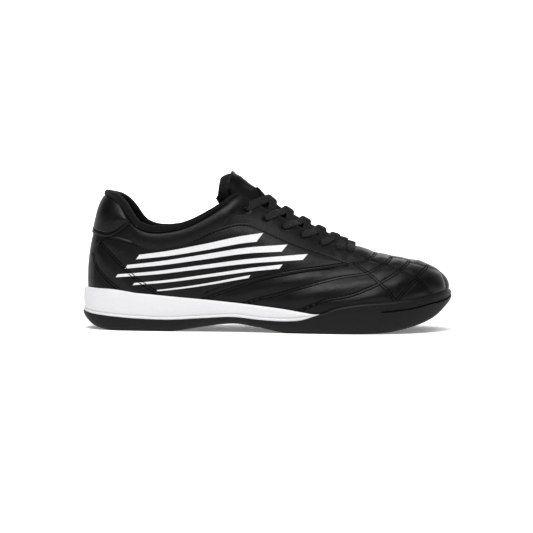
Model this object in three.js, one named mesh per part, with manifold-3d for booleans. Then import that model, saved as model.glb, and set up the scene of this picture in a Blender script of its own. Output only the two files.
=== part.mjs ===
// Indoor soccer shoe, right foot, adult EU 42, standing empty on its sole.
// Millimetres. +X runs from heel to toe, +Z is up, -Y is the outer (lateral) side of the foot.
// While it is worked out, x counts from the back of the sole and y from the heel's middle line;
// the last lines move the shoe so that its origin is the centre of its box, on the floor.
// One surface, upperPoint, gives the upper, and every overlay, binding, lace and cup follows it.

import * as THREE from "three";
import { mergeVertices } from "three/addons/utils/BufferGeometryUtils.js";
import Module from "manifold-3d";

const wasm = await Module();
wasm.setup();

// Driving sizes
const LENGTH = 290; // outsole, heel to toe
const BALL_WIDTH = 101; // outsole at the ball of the foot
const HEEL_HEIGHT = 104; // leather edge of the heel tab above the floor
const COLLAR_DIP = 76.5; // lowest leather edge of the collar, under the ankle
const COLLAR_PEAK = 101.5; // leather edge where collar and eyestay meet
const INSTEP_HEIGHT = 107; // crown of the upper at the top of the throat
const RIM_HEIGHT = 33; // top edge of the sole at the heel
const FLOOR_HEIGHT = 22; // footbed level at the heel
const SPLIT_HEIGHT = 15; // joint of midsole and outsole at the back of the heel
const ARCH_LIFT = 6.6; // clear height under the arch
const TOE_LIFT = 27; // height of the sole's lower edge at the tip of the toe
const WALL = 2.2; // leather, foam and lining of the upper
const CLEAR = 0.3; // gap left between touching pieces
const OVERLAY = 0.9; // thickness of the sewn-on panels
const HEEL_SET_BACK = 3.4; // upper behind the sole's edge at the heel
const TOE_SET_BACK = 2.5; // upper behind the sole's edge at the toe
const TUCK = 1.6; // how far the lasted edge draws in below the widest level
const HEEL_LEAN = 15; // how far the heel's back curves forward at the top
const HEEL_LEAN_REACH = 80; // length over which that curve dies out
const HEEL_ROOT_HEIGHT = 40; // level where the heel's back is furthest out
const BINDING_HEIGHT = 4.6; // padded roll on the collar
const BINDING_DEPTH = 6.5;
const BINDING_END = [0.428, 0.6]; // share of LENGTH where the roll stops, and its size there
const THROAT_END = 218; // toe end of the lacing slot
const THROAT_ROUND = 10; // rounding of that end
const THROAT_TURN = [114, 133]; // stretch where the collar edge becomes the throat edge
const EYELET_RADIUS = 2.1;
const EYELET_INSET = 9; // eyelet centre below the throat edge, along the surface
const EYELET_AT = [130, 145.3, 159, 173.6, 188.3, 202, 210.8];
const LACE_WIDTH = 5.4;
const LACE_THICK = 1.5;
const LACE_PAST = [4, 4, 3, 0, -3, -6]; // how far past the next eyelet each crossing dives under the flap
const LACE_BOW = 1.7; // how much steeper they run toward the toe before the ridge than after it
const TONGUE_TIP = 123.5; // highest point of the tongue
const TONGUE_ROOT = 215; // where the tongue is sewn to the vamp
const TONGUE_TUCK = 8; // how far it reaches in under the eyestays
const TONGUE_DIP = 2.7; // its face lies this far lower there
const TONGUE_PINCH = 0.74; // back of the padded end against its face, across
const INSOLE_THICK = 4;
const PROUD = 0.6; // outsole wall outside the foam of the midsole
const MIDSOLE_TIP = 185.4; // toe end of the midsole
const BEAD_HEIGHT = 2.3; // bead groove above the midsole's lower edge
const TOE_GROOVE_FROM = 222;
const BEVEL = 3.2; // rounding of the sole's lower edge
const TREAD_DEPTH = 1.4;
const TREAD_WIDTH = 2.4;

const LATERAL = -1;
const MEDIAL = 1;

// Tables. "at" is a share of LENGTH from the heel; other columns are shares of the size named.

// Outsole outline: half width and middle line, shares of BALL_WIDTH.
const SOLE_OUTLINE = [
  { at: 0.0, half: 0.0, middle: 0.0 },
  { at: 0.012, half: 0.145, middle: 0.0 },
  { at: 0.045, half: 0.252, middle: -0.002 },
  { at: 0.1, half: 0.326, middle: -0.005 },
  { at: 0.18, half: 0.358, middle: -0.01 },
  { at: 0.3, half: 0.352, middle: -0.024 },
  { at: 0.42, half: 0.354, middle: -0.04 },
  { at: 0.52, half: 0.392, middle: -0.042 },
  { at: 0.62, half: 0.452, middle: -0.03 },
  { at: 0.7, half: 0.493, middle: -0.01 },
  { at: 0.78, half: 0.495, middle: 0.01 },
  { at: 0.86, half: 0.448, middle: 0.028 },
  { at: 0.925, half: 0.352, middle: 0.044 },
  { at: 0.968, half: 0.232, middle: 0.056 },
  { at: 0.992, half: 0.115, middle: 0.066 },
  { at: 1.0, half: 0.0, middle: 0.07 },
];

// Cross-sections of the upper. half, middle and ridge are shares of BALL_WIDTH: ridge is how far the
// crown lies to the inner side. spring (level of the widest girth) and crown are shares of
// INSTEP_HEIGHT. side and top are the exponents of the arch: 2 is an ellipse, more is squarer.
const SECTIONS = [
  { at: 0.0, half: 0.0, middle: 0.0, ridge: 0.0, spring: 0.37, crown: 1.3, side: 2.4, top: 2.0 },
  { at: 0.012, half: 0.138, middle: 0.0, ridge: 0.0, spring: 0.37, crown: 1.3, side: 2.4, top: 2.0 },
  { at: 0.045, half: 0.238, middle: -0.002, ridge: 0.0, spring: 0.365, crown: 1.31, side: 2.4, top: 2.0 },
  { at: 0.1, half: 0.306, middle: -0.005, ridge: 0.0, spring: 0.35, crown: 1.33, side: 2.4, top: 2.0 },
  { at: 0.18, half: 0.331, middle: -0.01, ridge: 0.0, spring: 0.33, crown: 1.33, side: 2.4, top: 2.0 },
  { at: 0.3, half: 0.324, middle: -0.02, ridge: 0.01, spring: 0.3, crown: 1.24, side: 2.4, top: 2.1 },
  { at: 0.42, half: 0.33, middle: -0.034, ridge: 0.03, spring: 0.27, crown: 1.07, side: 2.3, top: 2.1 },
  { at: 0.46, half: 0.341, middle: -0.036, ridge: 0.038, spring: 0.26, crown: 0.99, side: 2.2, top: 2.0 },
  { at: 0.53, half: 0.374, middle: -0.034, ridge: 0.045, spring: 0.245, crown: 0.882, side: 1.86, top: 1.82 },
  { at: 0.6, half: 0.415, middle: -0.026, ridge: 0.048, spring: 0.232, crown: 0.778, side: 1.66, top: 1.6 },
  { at: 0.67, half: 0.448, middle: -0.014, ridge: 0.045, spring: 0.228, crown: 0.678, side: 1.6, top: 1.46 },
  { at: 0.74, half: 0.468, middle: 0.0, ridge: 0.036, spring: 0.232, crown: 0.596, side: 1.68, top: 1.5 },
  { at: 0.81, half: 0.452, middle: 0.014, ridge: 0.026, spring: 0.242, crown: 0.54, side: 1.95, top: 1.8 },
  { at: 0.88, half: 0.398, middle: 0.03, ridge: 0.016, spring: 0.256, crown: 0.502, side: 2.2, top: 2.1 },
  { at: 0.94, half: 0.298, middle: 0.045, ridge: 0.008, spring: 0.275, crown: 0.46, side: 2.2, top: 2.1 },
  { at: 0.978, half: 0.18, middle: 0.057, ridge: 0.003, spring: 0.29, crown: 0.399, side: 2.1, top: 2.0 },
  { at: 0.995, half: 0.083, middle: 0.064, ridge: 0.0, spring: 0.296, crown: 0.349, side: 2.0, top: 2.0 },
  { at: 1.0, half: 0.0, middle: 0.066, ridge: 0.0, spring: 0.298, crown: 0.298, side: 2.0, top: 2.0 },
];

// Side levels of the sole. rim and floor are shares of RIM_HEIGHT and FLOOR_HEIGHT, split of
// SPLIT_HEIGHT. lift is the lower edge: arch of ARCH_LIFT, toe of TOE_LIFT, heel of SPLIT_HEIGHT.
const SOLE_LEVELS = [
  { at: 0.0, rim: 0.985, floor: 1.03, split: 1.0, heel: 0.85, arch: 0, toe: 0 },
  { at: 0.012, rim: 0.99, floor: 1.02, split: 0.9, heel: 0.5, arch: 0, toe: 0 },
  { at: 0.035, rim: 0.99, floor: 1.0, split: 0.82, heel: 0.2, arch: 0, toe: 0 },
  { at: 0.085, rim: 0.975, floor: 1.0, split: 0.73, heel: 0, arch: 0, toe: 0 },
  { at: 0.17, rim: 0.885, floor: 0.99, split: 0.63, heel: 0, arch: 0, toe: 0 },
  { at: 0.25, rim: 0.82, floor: 0.96, split: 0.6, heel: 0, arch: 0, toe: 0 },
  { at: 0.34, rim: 0.755, floor: 0.9, split: 0.7, heel: 0, arch: 0.6, toe: 0 },
  { at: 0.42, rim: 0.69, floor: 0.8, split: 0.775, heel: 0, arch: 1, toe: 0 },
  { at: 0.49, rim: 0.625, floor: 0.67, split: 0.655, heel: 0, arch: 0.55, toe: 0 },
  { at: 0.56, rim: 0.55, floor: 0.55, split: 0.61, heel: 0, arch: 0, toe: 0 },
  { at: 0.6, rim: 0.495, floor: 0.5, split: 0.68, heel: 0, arch: 0, toe: 0 },
  { at: 0.645, rim: 0.45, floor: 0.46, split: 0.98, heel: 0, arch: 0, toe: 0 },
  { at: 0.69, rim: 0.585, floor: 0.44, split: 1.3, heel: 0, arch: 0, toe: 0 },
  { at: 0.75, rim: 0.69, floor: 0.44, split: 1.5, heel: 0, arch: 0, toe: 0 },
  { at: 0.83, rim: 0.745, floor: 0.48, split: 1.6, heel: 0, arch: 0, toe: 0.045 },
  { at: 0.9, rim: 0.795, floor: 0.59, split: 1.7, heel: 0, arch: 0, toe: 0.2 },
  { at: 0.95, rim: 0.85, floor: 0.74, split: 1.8, heel: 0, arch: 0, toe: 0.4 },
  { at: 0.985, rim: 0.905, floor: 0.9, split: 1.9, heel: 0, arch: 0, toe: 0.7 },
  { at: 1.0, rim: 0.93, floor: 0.98, split: 1.95, heel: 0, arch: 0, toe: 0.93 },
];

// Leather edge of the collar, seen from the side. rise is a share of the way from COLLAR_DIP up to
// HEEL_HEIGHT behind the dip, and up to COLLAR_PEAK in front of it.
const COLLAR_LINE = [
  { at: 0.0, rise: 1.02 },
  { at: 0.066, rise: 0.985 },
  { at: 0.09, rise: 0.9 },
  { at: 0.107, rise: 0.76 },
  { at: 0.122, rise: 0.565 },
  { at: 0.135, rise: 0.36 },
  { at: 0.15, rise: 0.19 },
  { at: 0.172, rise: 0.066 },
  { at: 0.207, rise: 0.0 },
  { at: 0.238, rise: 0.025 },
  { at: 0.266, rise: 0.085 },
  { at: 0.307, rise: 0.25 },
  { at: 0.331, rise: 0.395 },
  { at: 0.362, rise: 0.61 },
  { at: 0.386, rise: 0.79 },
  { at: 0.41, rise: 0.945 },
  { at: 0.428, rise: 1.0 },
  { at: 0.448, rise: 0.93 },
  { at: 0.47, rise: 0.8 },
];
const DIP_AT = 0.207;

// Half width of the throat between the eyestays, share of BALL_WIDTH.
const THROAT_GAP = [
  { at: 0.38, gap: 0.186 },
  { at: 0.45, gap: 0.152 },
  { at: 0.5, gap: 0.143 },
  { at: 0.6, gap: 0.127 },
  { at: 0.7, gap: 0.098 },
  { at: 0.76, gap: 0.08 },
];

// Sewn panel of the quarter, from the side: its upper and lower edge, shares of INSTEP_HEIGHT.
// Where lower is below the sole's rim, the rim is the edge.
const QUARTER_PANEL = [
  { at: 0.042, upper: 0.6, lower: 0.1 },
  { at: 0.06, upper: 0.655, lower: 0.1 },
  { at: 0.1, upper: 0.672, lower: 0.1 },
  { at: 0.14, upper: 0.648, lower: 0.1 },
  { at: 0.18, upper: 0.62, lower: 0.1 },
  { at: 0.215, upper: 0.61, lower: 0.1 },
  { at: 0.25, upper: 0.617, lower: 0.12 },
  { at: 0.28, upper: 0.64, lower: 0.16 },
  { at: 0.32, upper: 0.68, lower: 0.232 },
  { at: 0.36, upper: 0.726, lower: 0.28 },
  { at: 0.4, upper: 0.762, lower: 0.318 },
  { at: 0.428, upper: 0.778, lower: 0.34 },
  { at: 0.455, upper: 0.774, lower: 0.36 },
  { at: 0.49, upper: 0.74, lower: 0.383 },
  { at: 0.54, upper: 0.677, lower: 0.41 },
  { at: 0.6, upper: 0.61, lower: 0.438 },
  { at: 0.665, upper: 0.552, lower: 0.463 },
  { at: 0.7, upper: 0.52, lower: 0.478 },
  { at: 0.722, upper: 0.5, lower: 0.488 },
];

// Lower edge of the heel tab, share of INSTEP_HEIGHT as the panels below it.
const HEEL_TAB = [
  { at: 0.0, lower: 0.705 },
  { at: 0.03, lower: 0.702 },
  { at: 0.055, lower: 0.683 },
  { at: 0.085, lower: 0.678 },
  { at: 0.104, lower: 0.7 },
  { at: 0.125, lower: 0.744 },
  { at: 0.14, lower: 0.768 },
];

// Tongue where it stands clear of the shoe: its face line (shares of LENGTH and TONGUE_TIP), half width
// (share of BALL_WIDTH), droop of its wings and depth of the padding behind it, both in millimetres.
const TONGUE_TOP = [
  { at: 0.403, up: 1.0, half: 0.168, droop: 12, thick: 10 },
  { at: 0.419, up: 0.978, half: 0.146, droop: 12.5, thick: 13 },
  { at: 0.438, up: 0.943, half: 0.122, droop: 13, thick: 14 },
  { at: 0.459, up: 0.9, half: 0.125, droop: 14, thick: 9 },
];

// Lift of the tongue's padded middle above the upper's own surface, millimetres.
const TONGUE_LIFT = [
  { at: 0.42, lift: 6.2 },
  { at: 0.438, lift: 5.9 },
  { at: 0.459, lift: 5.2 },
  { at: 0.475, lift: 3.4 },
  { at: 0.5, lift: 1.0 },
  { at: 0.52, lift: 0 },
  { at: 0.75, lift: 0 },
];


// Curves through the tables

const { clamp, lerp, smoothstep } = THREE.MathUtils;

// Stations crowd toward both ends, so a column that starts at nought opens as a round nose.
const station = (share) => Math.acos(1 - 2 * clamp(share, 0, 1)) / Math.PI;
const shareOf = (t) => (1 - Math.cos(Math.PI * t)) / 2;

// A smooth curve through one column. The rows are mirrored past both ends, with the sign given.
function column(table, key, heelSign = 1, toeSign = 1) {
  const rows = table.map((row) => [station(row.at), row[key]]);
  const last = rows.length - 1;
  const before = [2 * rows[0][0] - rows[1][0], heelSign * rows[1][1]];
  const after = [2 * rows[last][0] - rows[last - 1][0], toeSign * rows[last - 1][1]];
  const all = [before, ...rows, after];
  const slope = (i) => {
    const back = all[i][0] - all[i - 1][0];
    const ahead = all[i + 1][0] - all[i][0];
    const fall = (all[i][1] - all[i - 1][1]) / back;
    const climb = (all[i + 1][1] - all[i][1]) / ahead;
    return (fall * ahead + climb * back) / (back + ahead);
  };
  return (t) => {
    const here = clamp(t, rows[0][0], rows[last][0]);
    let i = 1;
    while (i < last && here > all[i + 1][0]) i += 1;
    const width = all[i + 1][0] - all[i][0];
    const u = (here - all[i][0]) / width;
    const rise = all[i + 1][1] - all[i][1];
    const a = slope(i) * width - rise;
    const b = rise - slope(i + 1) * width;
    return all[i][1] + rise * u + u * (1 - u) * (a * (1 - u) + b * u);
  };
}

const tOf = (x) => station(x / LENGTH);

const outlineHalf = column(SOLE_OUTLINE, "half", -1, -1);
const outlineMiddle = column(SOLE_OUTLINE, "middle");
const upperHalf = column(SECTIONS, "half", -1, -1);
const upperMiddle = column(SECTIONS, "middle");
const upperRidge = column(SECTIONS, "ridge");
const upperSpring = column(SECTIONS, "spring");
const arches = SECTIONS.map((row) => ({ at: row.at, rise: row.crown - row.spring }));
const upperRise = column(arches, "rise", 1, -1);
const upperSide = column(SECTIONS, "side");
const upperTop = column(SECTIONS, "top");
const rimShare = column(SOLE_LEVELS, "rim");
const floorShare = column(SOLE_LEVELS, "floor");
const splitShare = column(SOLE_LEVELS, "split");
const heelShare = column(SOLE_LEVELS, "heel");
const archShare = column(SOLE_LEVELS, "arch");
const toeShare = column(SOLE_LEVELS, "toe");
const collarRise = column(COLLAR_LINE, "rise");
const throatShare = column(THROAT_GAP, "gap");
const tongueLift = column(TONGUE_LIFT, "lift");

const rimLevel = (t) => RIM_HEIGHT * rimShare(t);
const footbedLevel = (t) => FLOOR_HEIGHT * floorShare(t);
const splitLevel = (t) => SPLIT_HEIGHT * splitShare(t);
const underLevel = (t) => {
  const heel = SPLIT_HEIGHT * Math.max(0, heelShare(t));
  return heel + ARCH_LIFT * Math.max(0, archShare(t)) + TOE_LIFT * Math.max(0, toeShare(t));
};

// Smallest u in [low, high] where a rising test turns positive.
function solve(low, high, test) {
  let a = low;
  let b = high;
  for (let i = 0; i < 40; i += 1) {
    const mid = (a + b) / 2;
    if (test(mid) > 0) b = mid;
    else a = mid;
  }
  return (a + b) / 2;
}

// The upper's surface. t runs heel to toe; v is -1 at the lasted edge, 0 at the widest level and 1 on
// the crown.
const UPPER_SPAN = LENGTH - HEEL_SET_BACK - TOE_SET_BACK;
const crownY = (t) => BALL_WIDTH * (upperMiddle(t) + upperRidge(t));
const upperX = (t) => HEEL_SET_BACK + UPPER_SPAN * shareOf(t);
const upperT = (x) => station((x - HEEL_SET_BACK) / UPPER_SPAN);

function upperPoint(t, side, v) {
  const half = BALL_WIDTH * upperHalf(t);
  const spring = INSTEP_HEIGHT * upperSpring(t);
  const base = new THREE.Vector3(upperX(t), BALL_WIDTH * upperMiddle(t), spring);
  if (v <= 0) {
    const step = 1e-3;
    const dx = upperX(Math.min(1, t + step)) - upperX(Math.max(0, t - step));
    const reach = upperHalf(Math.min(1, t + step)) - upperHalf(Math.max(0, t - step));
    const across = new THREE.Vector2(-BALL_WIDTH * reach, dx).normalize();
    const tuck = TUCK * v * v;
    base.x -= across.x * tuck;
    base.y += side * Math.max(0, half - across.y * tuck);
    base.z += v * (spring - footbedLevel(t) - CLEAR);
  } else {
    const angle = (Math.min(v, 1) * Math.PI) / 2;
    const c = Math.max(0, Math.cos(angle));
    const s = Math.sin(angle);
    base.y += side * half * c ** (2 / upperSide(t)) + BALL_WIDTH * upperRidge(t) * s * s;
    base.z += INSTEP_HEIGHT * upperRise(t) * s ** (2 / upperTop(t));
  }
  const lean = Math.max(0, base.z - HEEL_ROOT_HEIGHT) / (HEEL_HEIGHT - HEEL_ROOT_HEIGHT);
  const fade = Math.max(0, 1 - base.x / HEEL_LEAN_REACH);
  base.x += HEEL_LEAN * lean * lean * fade * fade;
  return base;
}

function upperNormal(t, side, v) {
  if (t > 1 - 1e-6) return new THREE.Vector3(1, 0, 0);
  if (v > 0.999) {
    const both = upperNormal(t, side, 0.985).add(upperNormal(t, -side, 0.985));
    return both.normalize();
  }
  const at = clamp(t, 0.003, 0.997);
  const up = clamp(v, -0.97, 0.985);
  const dt = upperPoint(at + 0.002, side, up).sub(upperPoint(at - 0.002, side, up));
  const dv = upperPoint(at, side, up + 0.01).sub(upperPoint(at, side, up - 0.01));
  const normal = dt.cross(dv).multiplyScalar(-side);
  if (t < 1e-6) normal.y = 0;
  return normal.normalize();
}

// A point held off the surface: offset is outward along the normal.
function onUpper(t, side, v, offset) {
  return upperPoint(t, side, v).addScaledVector(upperNormal(t, side, v), offset);
}

// v on the section t at a height seen from the side.
function vAtLine(t, side, lineHeight) {
  return solve(-1, 1, (v) => {
    const p = upperPoint(t, side, v);
    return p.z - lineHeight(p.x);
  });
}

// v on the section t at a distance from the crown line.
function vAtReach(t, side, reach) {
  if (reach <= 0) return 1;
  return solve(0, 1, (v) => reach - Math.abs(upperPoint(t, side, v).y - crownY(t)));
}

// Collar and throat: the free edge of the upper

function collarHeight(x) {
  const high = x < DIP_AT * LENGTH ? HEEL_HEIGHT : COLLAR_PEAK;
  return lerp(COLLAR_DIP, high, collarRise(tOf(x)));
}

function throatGap(x) {
  if (x >= THROAT_END) return 0;
  const into = Math.max(0, x - THROAT_END + THROAT_ROUND) / THROAT_ROUND;
  return BALL_WIDTH * throatShare(tOf(x)) * Math.sqrt(1 - into * into);
}

function edgeV(t, side) {
  const x = upperX(t);
  if (x >= THROAT_END - 1e-6) return 1;
  const turn = smoothstep(x, THROAT_TURN[0], THROAT_TURN[1]);
  const collar = turn < 1 ? vAtLine(t, side, collarHeight) : 0;
  const throat = turn > 0 ? vAtReach(t, side, throatGap(x)) : 0;
  return lerp(collar, throat, turn);
}

// Half width of the throat without its rounded end, and of the row of eyelets, whose flap slopes.
const flapReach = (x) => BALL_WIDTH * throatShare(tOf(x));
const eyeletReach = (x) => flapReach(x) + 0.8 * EYELET_INSET;

// Meshes

class Faces {
  constructor() {
    this.corners = [];
    this.index = new Map();
    this.triangles = [];
  }

  corner(p) {
    const key = [p.x, p.y, p.z].map((value) => Math.round(value * 500)).join(",");
    if (!this.index.has(key)) {
      this.index.set(key, this.corners.length);
      this.corners.push(p);
    }
    return this.index.get(key);
  }

  triangle(a, b, c) {
    const [i, j, k] = [this.corner(a), this.corner(b), this.corner(c)];
    if (i !== j && j !== k && k !== i) this.triangles.push(i, j, k);
  }

  quad(a, b, c, d) {
    this.triangle(a, b, c);
    this.triangle(a, c, d);
  }

  // Rows of points joined into a sheet; the face looks out where rows run right and points run up.
  sheet(rows, flip = false) {
    for (let i = 0; i + 1 < rows.length; i += 1) {
      for (let j = 0; j + 1 < rows[i].length; j += 1) {
        const [a, b] = [rows[i][j], rows[i + 1][j]];
        const [c, d] = [rows[i + 1][j + 1], rows[i][j + 1]];
        if (flip) this.quad(a, d, c, b);
        else this.quad(a, b, c, d);
      }
    }
  }

  geometry() {
    const geometry = new THREE.BufferGeometry();
    const flat = this.corners.flatMap((p) => [p.x, p.y, p.z]);
    geometry.setAttribute("position", new THREE.Float32BufferAttribute(flat, 3));
    geometry.setIndex(this.triangles);
    return geometry;
  }
}

// A closed body from loops of points, each joined to the next, the first and last closed by cap(loop).
function loft(loops, cap) {
  const faces = new Faces();
  loops.forEach((loop, i) => {
    const next = loops[i + 1];
    if (!next) return;
    loop.forEach((p, j) => {
      const k = (j + 1) % loop.length;
      faces.quad(p, loop[k], next[k], next[j]);
    });
  });
  cap(faces, loops[0], true);
  cap(faces, loops[loops.length - 1], false);
  return faces.geometry();
}

// Cap for a loop that runs out along one side and back along the other: rungs across it. With shift 0
// both sides share the end points, with shift 1 each side has its own.
function rungs(shift) {
  return (faces, loop, turned) => {
    const count = loop.length;
    for (let i = 0; i + shift < count / 2; i += 1) {
      const [a, b] = [loop[i], loop[i + 1]];
      const c = loop[count - 1 - i - shift];
      const d = loop[(count - i - shift) % count];
      if (turned) faces.quad(a, d, c, b);
      else faces.quad(a, b, c, d);
    }
  };
}

// Cap for a small convex loop.
function fan(faces, loop, turned) {
  for (let i = 1; i + 1 < loop.length; i += 1) {
    if (turned) faces.triangle(loop[0], loop[i + 1], loop[i]);
    else faces.triangle(loop[0], loop[i], loop[i + 1]);
  }
}

function toManifold(geometry) {
  const clean = mergeVertices(geometry, 1e-4);
  const mesh = new wasm.Mesh({
    numProp: 3,
    vertProperties: new Float32Array(clean.attributes.position.array),
    triVerts: new Uint32Array(clean.index.array),
  });
  return new wasm.Manifold(mesh);
}

function fromManifold(body) {
  const mesh = body.getMesh();
  const geometry = new THREE.BufferGeometry();
  geometry.setAttribute("position", new THREE.Float32BufferAttribute(mesh.vertProperties, 3));
  geometry.setIndex(Array.from(mesh.triVerts));
  return geometry;
}

// Stations used by the upper and everything that sits on it
function stationsBetween(from, to, count) {
  return Array.from({ length: count + 1 }, (_, i) => lerp(from, to, i / count));
}

const THROAT_STEPS = [THROAT_END - 10, THROAT_END - 5, THROAT_END - 1.5, THROAT_END];
const SHELL_STATIONS = [
  ...stationsBetween(0, upperT(BINDING_END[0] * LENGTH), 15).slice(0, -1),
  ...stationsBetween(upperT(BINDING_END[0] * LENGTH), upperT(THROAT_STEPS[0]), 9).slice(0, -1),
  ...THROAT_STEPS.map(upperT),
  ...stationsBetween(upperT(THROAT_END), 1, 10).slice(1),
];
const WALL_ROWS = 2;
const ARCH_ROWS = 6;

// Upper: one hollow shell, open at the collar, the throat and underneath
function skin(side, offset) {
  return SHELL_STATIONS.map((t) => {
    const edge = edgeV(t, side);
    const low = stationsBetween(-1, 0, WALL_ROWS);
    const high = stationsBetween(0, edge, ARCH_ROWS).slice(1);
    return [...low, ...high].map((v) => onUpper(t, side, v, offset));
  });
}

function shell(out) {
  const faces = new Faces();
  for (const side of [LATERAL, MEDIAL]) {
    const outer = skin(side, out);
    const inner = skin(side, -WALL);
    const flip = side === MEDIAL;
    faces.sheet(outer, flip);
    faces.sheet(inner, !flip);
    const top = WALL_ROWS + ARCH_ROWS;
    faces.sheet(outer.map((row, i) => [row[top], inner[i][top]]), flip);
    faces.sheet(outer.map((row, i) => [inner[i][0], row[0]]), flip);
  }
  return toManifold(faces.geometry());
}

function makeUpper() {
  const holes = [LATERAL, MEDIAL].flatMap((side) =>
    EYELET_AT.map((x) => {
      const t = upperT(x);
      const v = vAtReach(t, side, eyeletReach(x));
      const centre = upperPoint(t, side, v);
      const normal = upperNormal(t, side, v);
      const drill = new THREE.CylinderGeometry(EYELET_RADIUS, EYELET_RADIUS, 4 * WALL, 8);
      const turn = new THREE.Quaternion().setFromUnitVectors(new THREE.Vector3(0, 1, 0), normal);
      drill.applyQuaternion(turn);
      drill.translate(centre.x, centre.y, centre.z);
      drill.deleteAttribute("normal");
      drill.deleteAttribute("uv");
      return toManifold(drill);
    }),
  );
  return fromManifold(wasm.Manifold.difference([shell(0), ...holes]));
}


// Panels sewn on the upper: columns run so that the outside is on their right. The back of each is cut
// by the upper's own facets, held off by the gap.
function panel(columns, lowLine, highLine, rows) {
  const faces = new Faces();
  const skinAt = (offset) =>
    columns.map(({ t, side }) => {
      const low = vAtLine(t, side, lowLine);
      const high = Math.max(low, vAtLine(t, side, highLine));
      return stationsBetween(low, high, rows).map((v) => onUpper(t, side, v, offset));
    });
  const outer = skinAt(CLEAR + OVERLAY);
  const inner = skinAt(-WALL / 2);
  const last = columns.length - 1;
  faces.sheet(outer);
  faces.sheet(inner, true);
  faces.sheet(outer.map((row, i) => [inner[i][0], row[0]]));
  faces.sheet(outer.map((row, i) => [row[rows], inner[i][rows]]));
  faces.sheet([inner[0], outer[0]]);
  faces.sheet([outer[last], inner[last]]);
  return fromManifold(toManifold(faces.geometry()).subtract(shell(CLEAR)));
}

function columnsBetween(from, to, side) {
  const inside = SHELL_STATIONS.filter((t) => t > from + 0.008 && t < to - 0.008);
  return [from, ...inside, to].map((t) => ({ t, side }));
}

function makeQuarter(side) {
  const upper = column(QUARTER_PANEL, "upper");
  const lower = column(QUARTER_PANEL, "lower");
  const rows = QUARTER_PANEL.length;
  const from = upperT(QUARTER_PANEL[0].at * LENGTH);
  const to = upperT(QUARTER_PANEL[rows - 1].at * LENGTH);
  const columns = columnsBetween(from, to, side);
  const highLine = (x) => INSTEP_HEIGHT * upper(tOf(x));
  const lowLine = (x) => {
    const rim = rimLevel(upperT(Math.max(x, HEEL_SET_BACK))) + 2 * CLEAR;
    return Math.max(rim, INSTEP_HEIGHT * lower(tOf(x)));
  };
  return panel(side === MEDIAL ? columns.reverse() : columns, lowLine, highLine, 4);
}

function makeHeelTab() {
  const lower = column(HEEL_TAB, "lower");
  const endX = HEEL_TAB[HEEL_TAB.length - 1].at * LENGTH;
  const end = solve(0, 0.5, (t) => upperPoint(t, LATERAL, edgeV(t, LATERAL)).x - endX);
  const columns = columnsBetween(0, end, LATERAL);
  const inner = columns.slice(1).map(({ t }) => ({ t, side: MEDIAL }));
  const lowLine = (x) => INSTEP_HEIGHT * lower(tOf(x));
  const highLine = (x) => collarHeight(x) - CLEAR;
  return panel([...inner.reverse(), ...columns], lowLine, highLine, 4);
}

// Sweeps: loops of points round a path. Each section is a list of [out, across] in the frame of the
// surface normal and of path x normal.
function sweep(path, section, cap) {
  const loops = path.map(({ p, n }, i) => {
    const ahead = path[Math.min(path.length - 1, i + 1)].p;
    const behind = path[Math.max(0, i - 1)].p;
    const along = ahead.clone().sub(behind).normalize();
    const across = along.clone().cross(n).normalize();
    const out = across.clone().cross(along).normalize();
    return section(i).map(([a, b]) => p.clone().addScaledVector(out, a).addScaledVector(across, b));
  });
  return loft(loops, cap);
}

function makeBinding() {
  const end = upperT(BINDING_END[0] * LENGTH);
  const back = columnsBetween(0, end, MEDIAL);
  const front = columnsBetween(0, end, LATERAL).slice(1).reverse();
  const path = [...front, ...back].map(({ t, side }) => {
    const v = edgeV(t, side);
    return { p: upperPoint(t, side, v), n: upperNormal(t, side, v) };
  });
  const section = (i) => {
    const toEnd = Math.min(i, path.length - 1 - i) / 7;
    const size = lerp(BINDING_END[1], 1, smoothstep(toEnd, 0, 1));
    const [low, high] = [CLEAR, CLEAR + BINDING_HEIGHT * size];
    const [deep, face] = [OVERLAY - BINDING_DEPTH * size, OVERLAY * size];
    const soft = 0.28 * (high - low);
    return [
      [face - soft, low],
      [face, low + soft],
      [face, high - 1.6 * soft],
      [face - 1.4 * soft, high],
      [deep + 2 * soft, high],
      [deep, high - 2 * soft],
      [deep, low + soft],
      [deep + soft, low],
    ];
  };
  return sweep(path, section, fan);
}

// Where tongue, laces and keeper lie: x, distance from the crown line and a height over the upper's
// surface, the tongue's lift included.
function lifted(x, reach) {
  const t = upperT(x);
  const side = reach < 0 ? LATERAL : MEDIAL;
  const v = vAtReach(t, side, Math.abs(reach));
  const bell = 1 - smoothstep(Math.abs(reach), 0.25 * flapReach(x), flapReach(x));
  return onUpper(t, side, v, tongueLift(tOf(x)) * bell);
}

function overThroat(x, reach, height) {
  const along = lifted(x + 1, reach).sub(lifted(x - 1, reach));
  const across = lifted(x, reach + 1).sub(lifted(x, reach - 1));
  const n = along.cross(across).normalize();
  return { p: lifted(x, reach).addScaledVector(n, height), n };
}

function tongueDip(x, reach) {
  const gap = throatGap(x);
  return TONGUE_DIP * smoothstep(Math.abs(reach), gap - 9, gap - 3);
}

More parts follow.
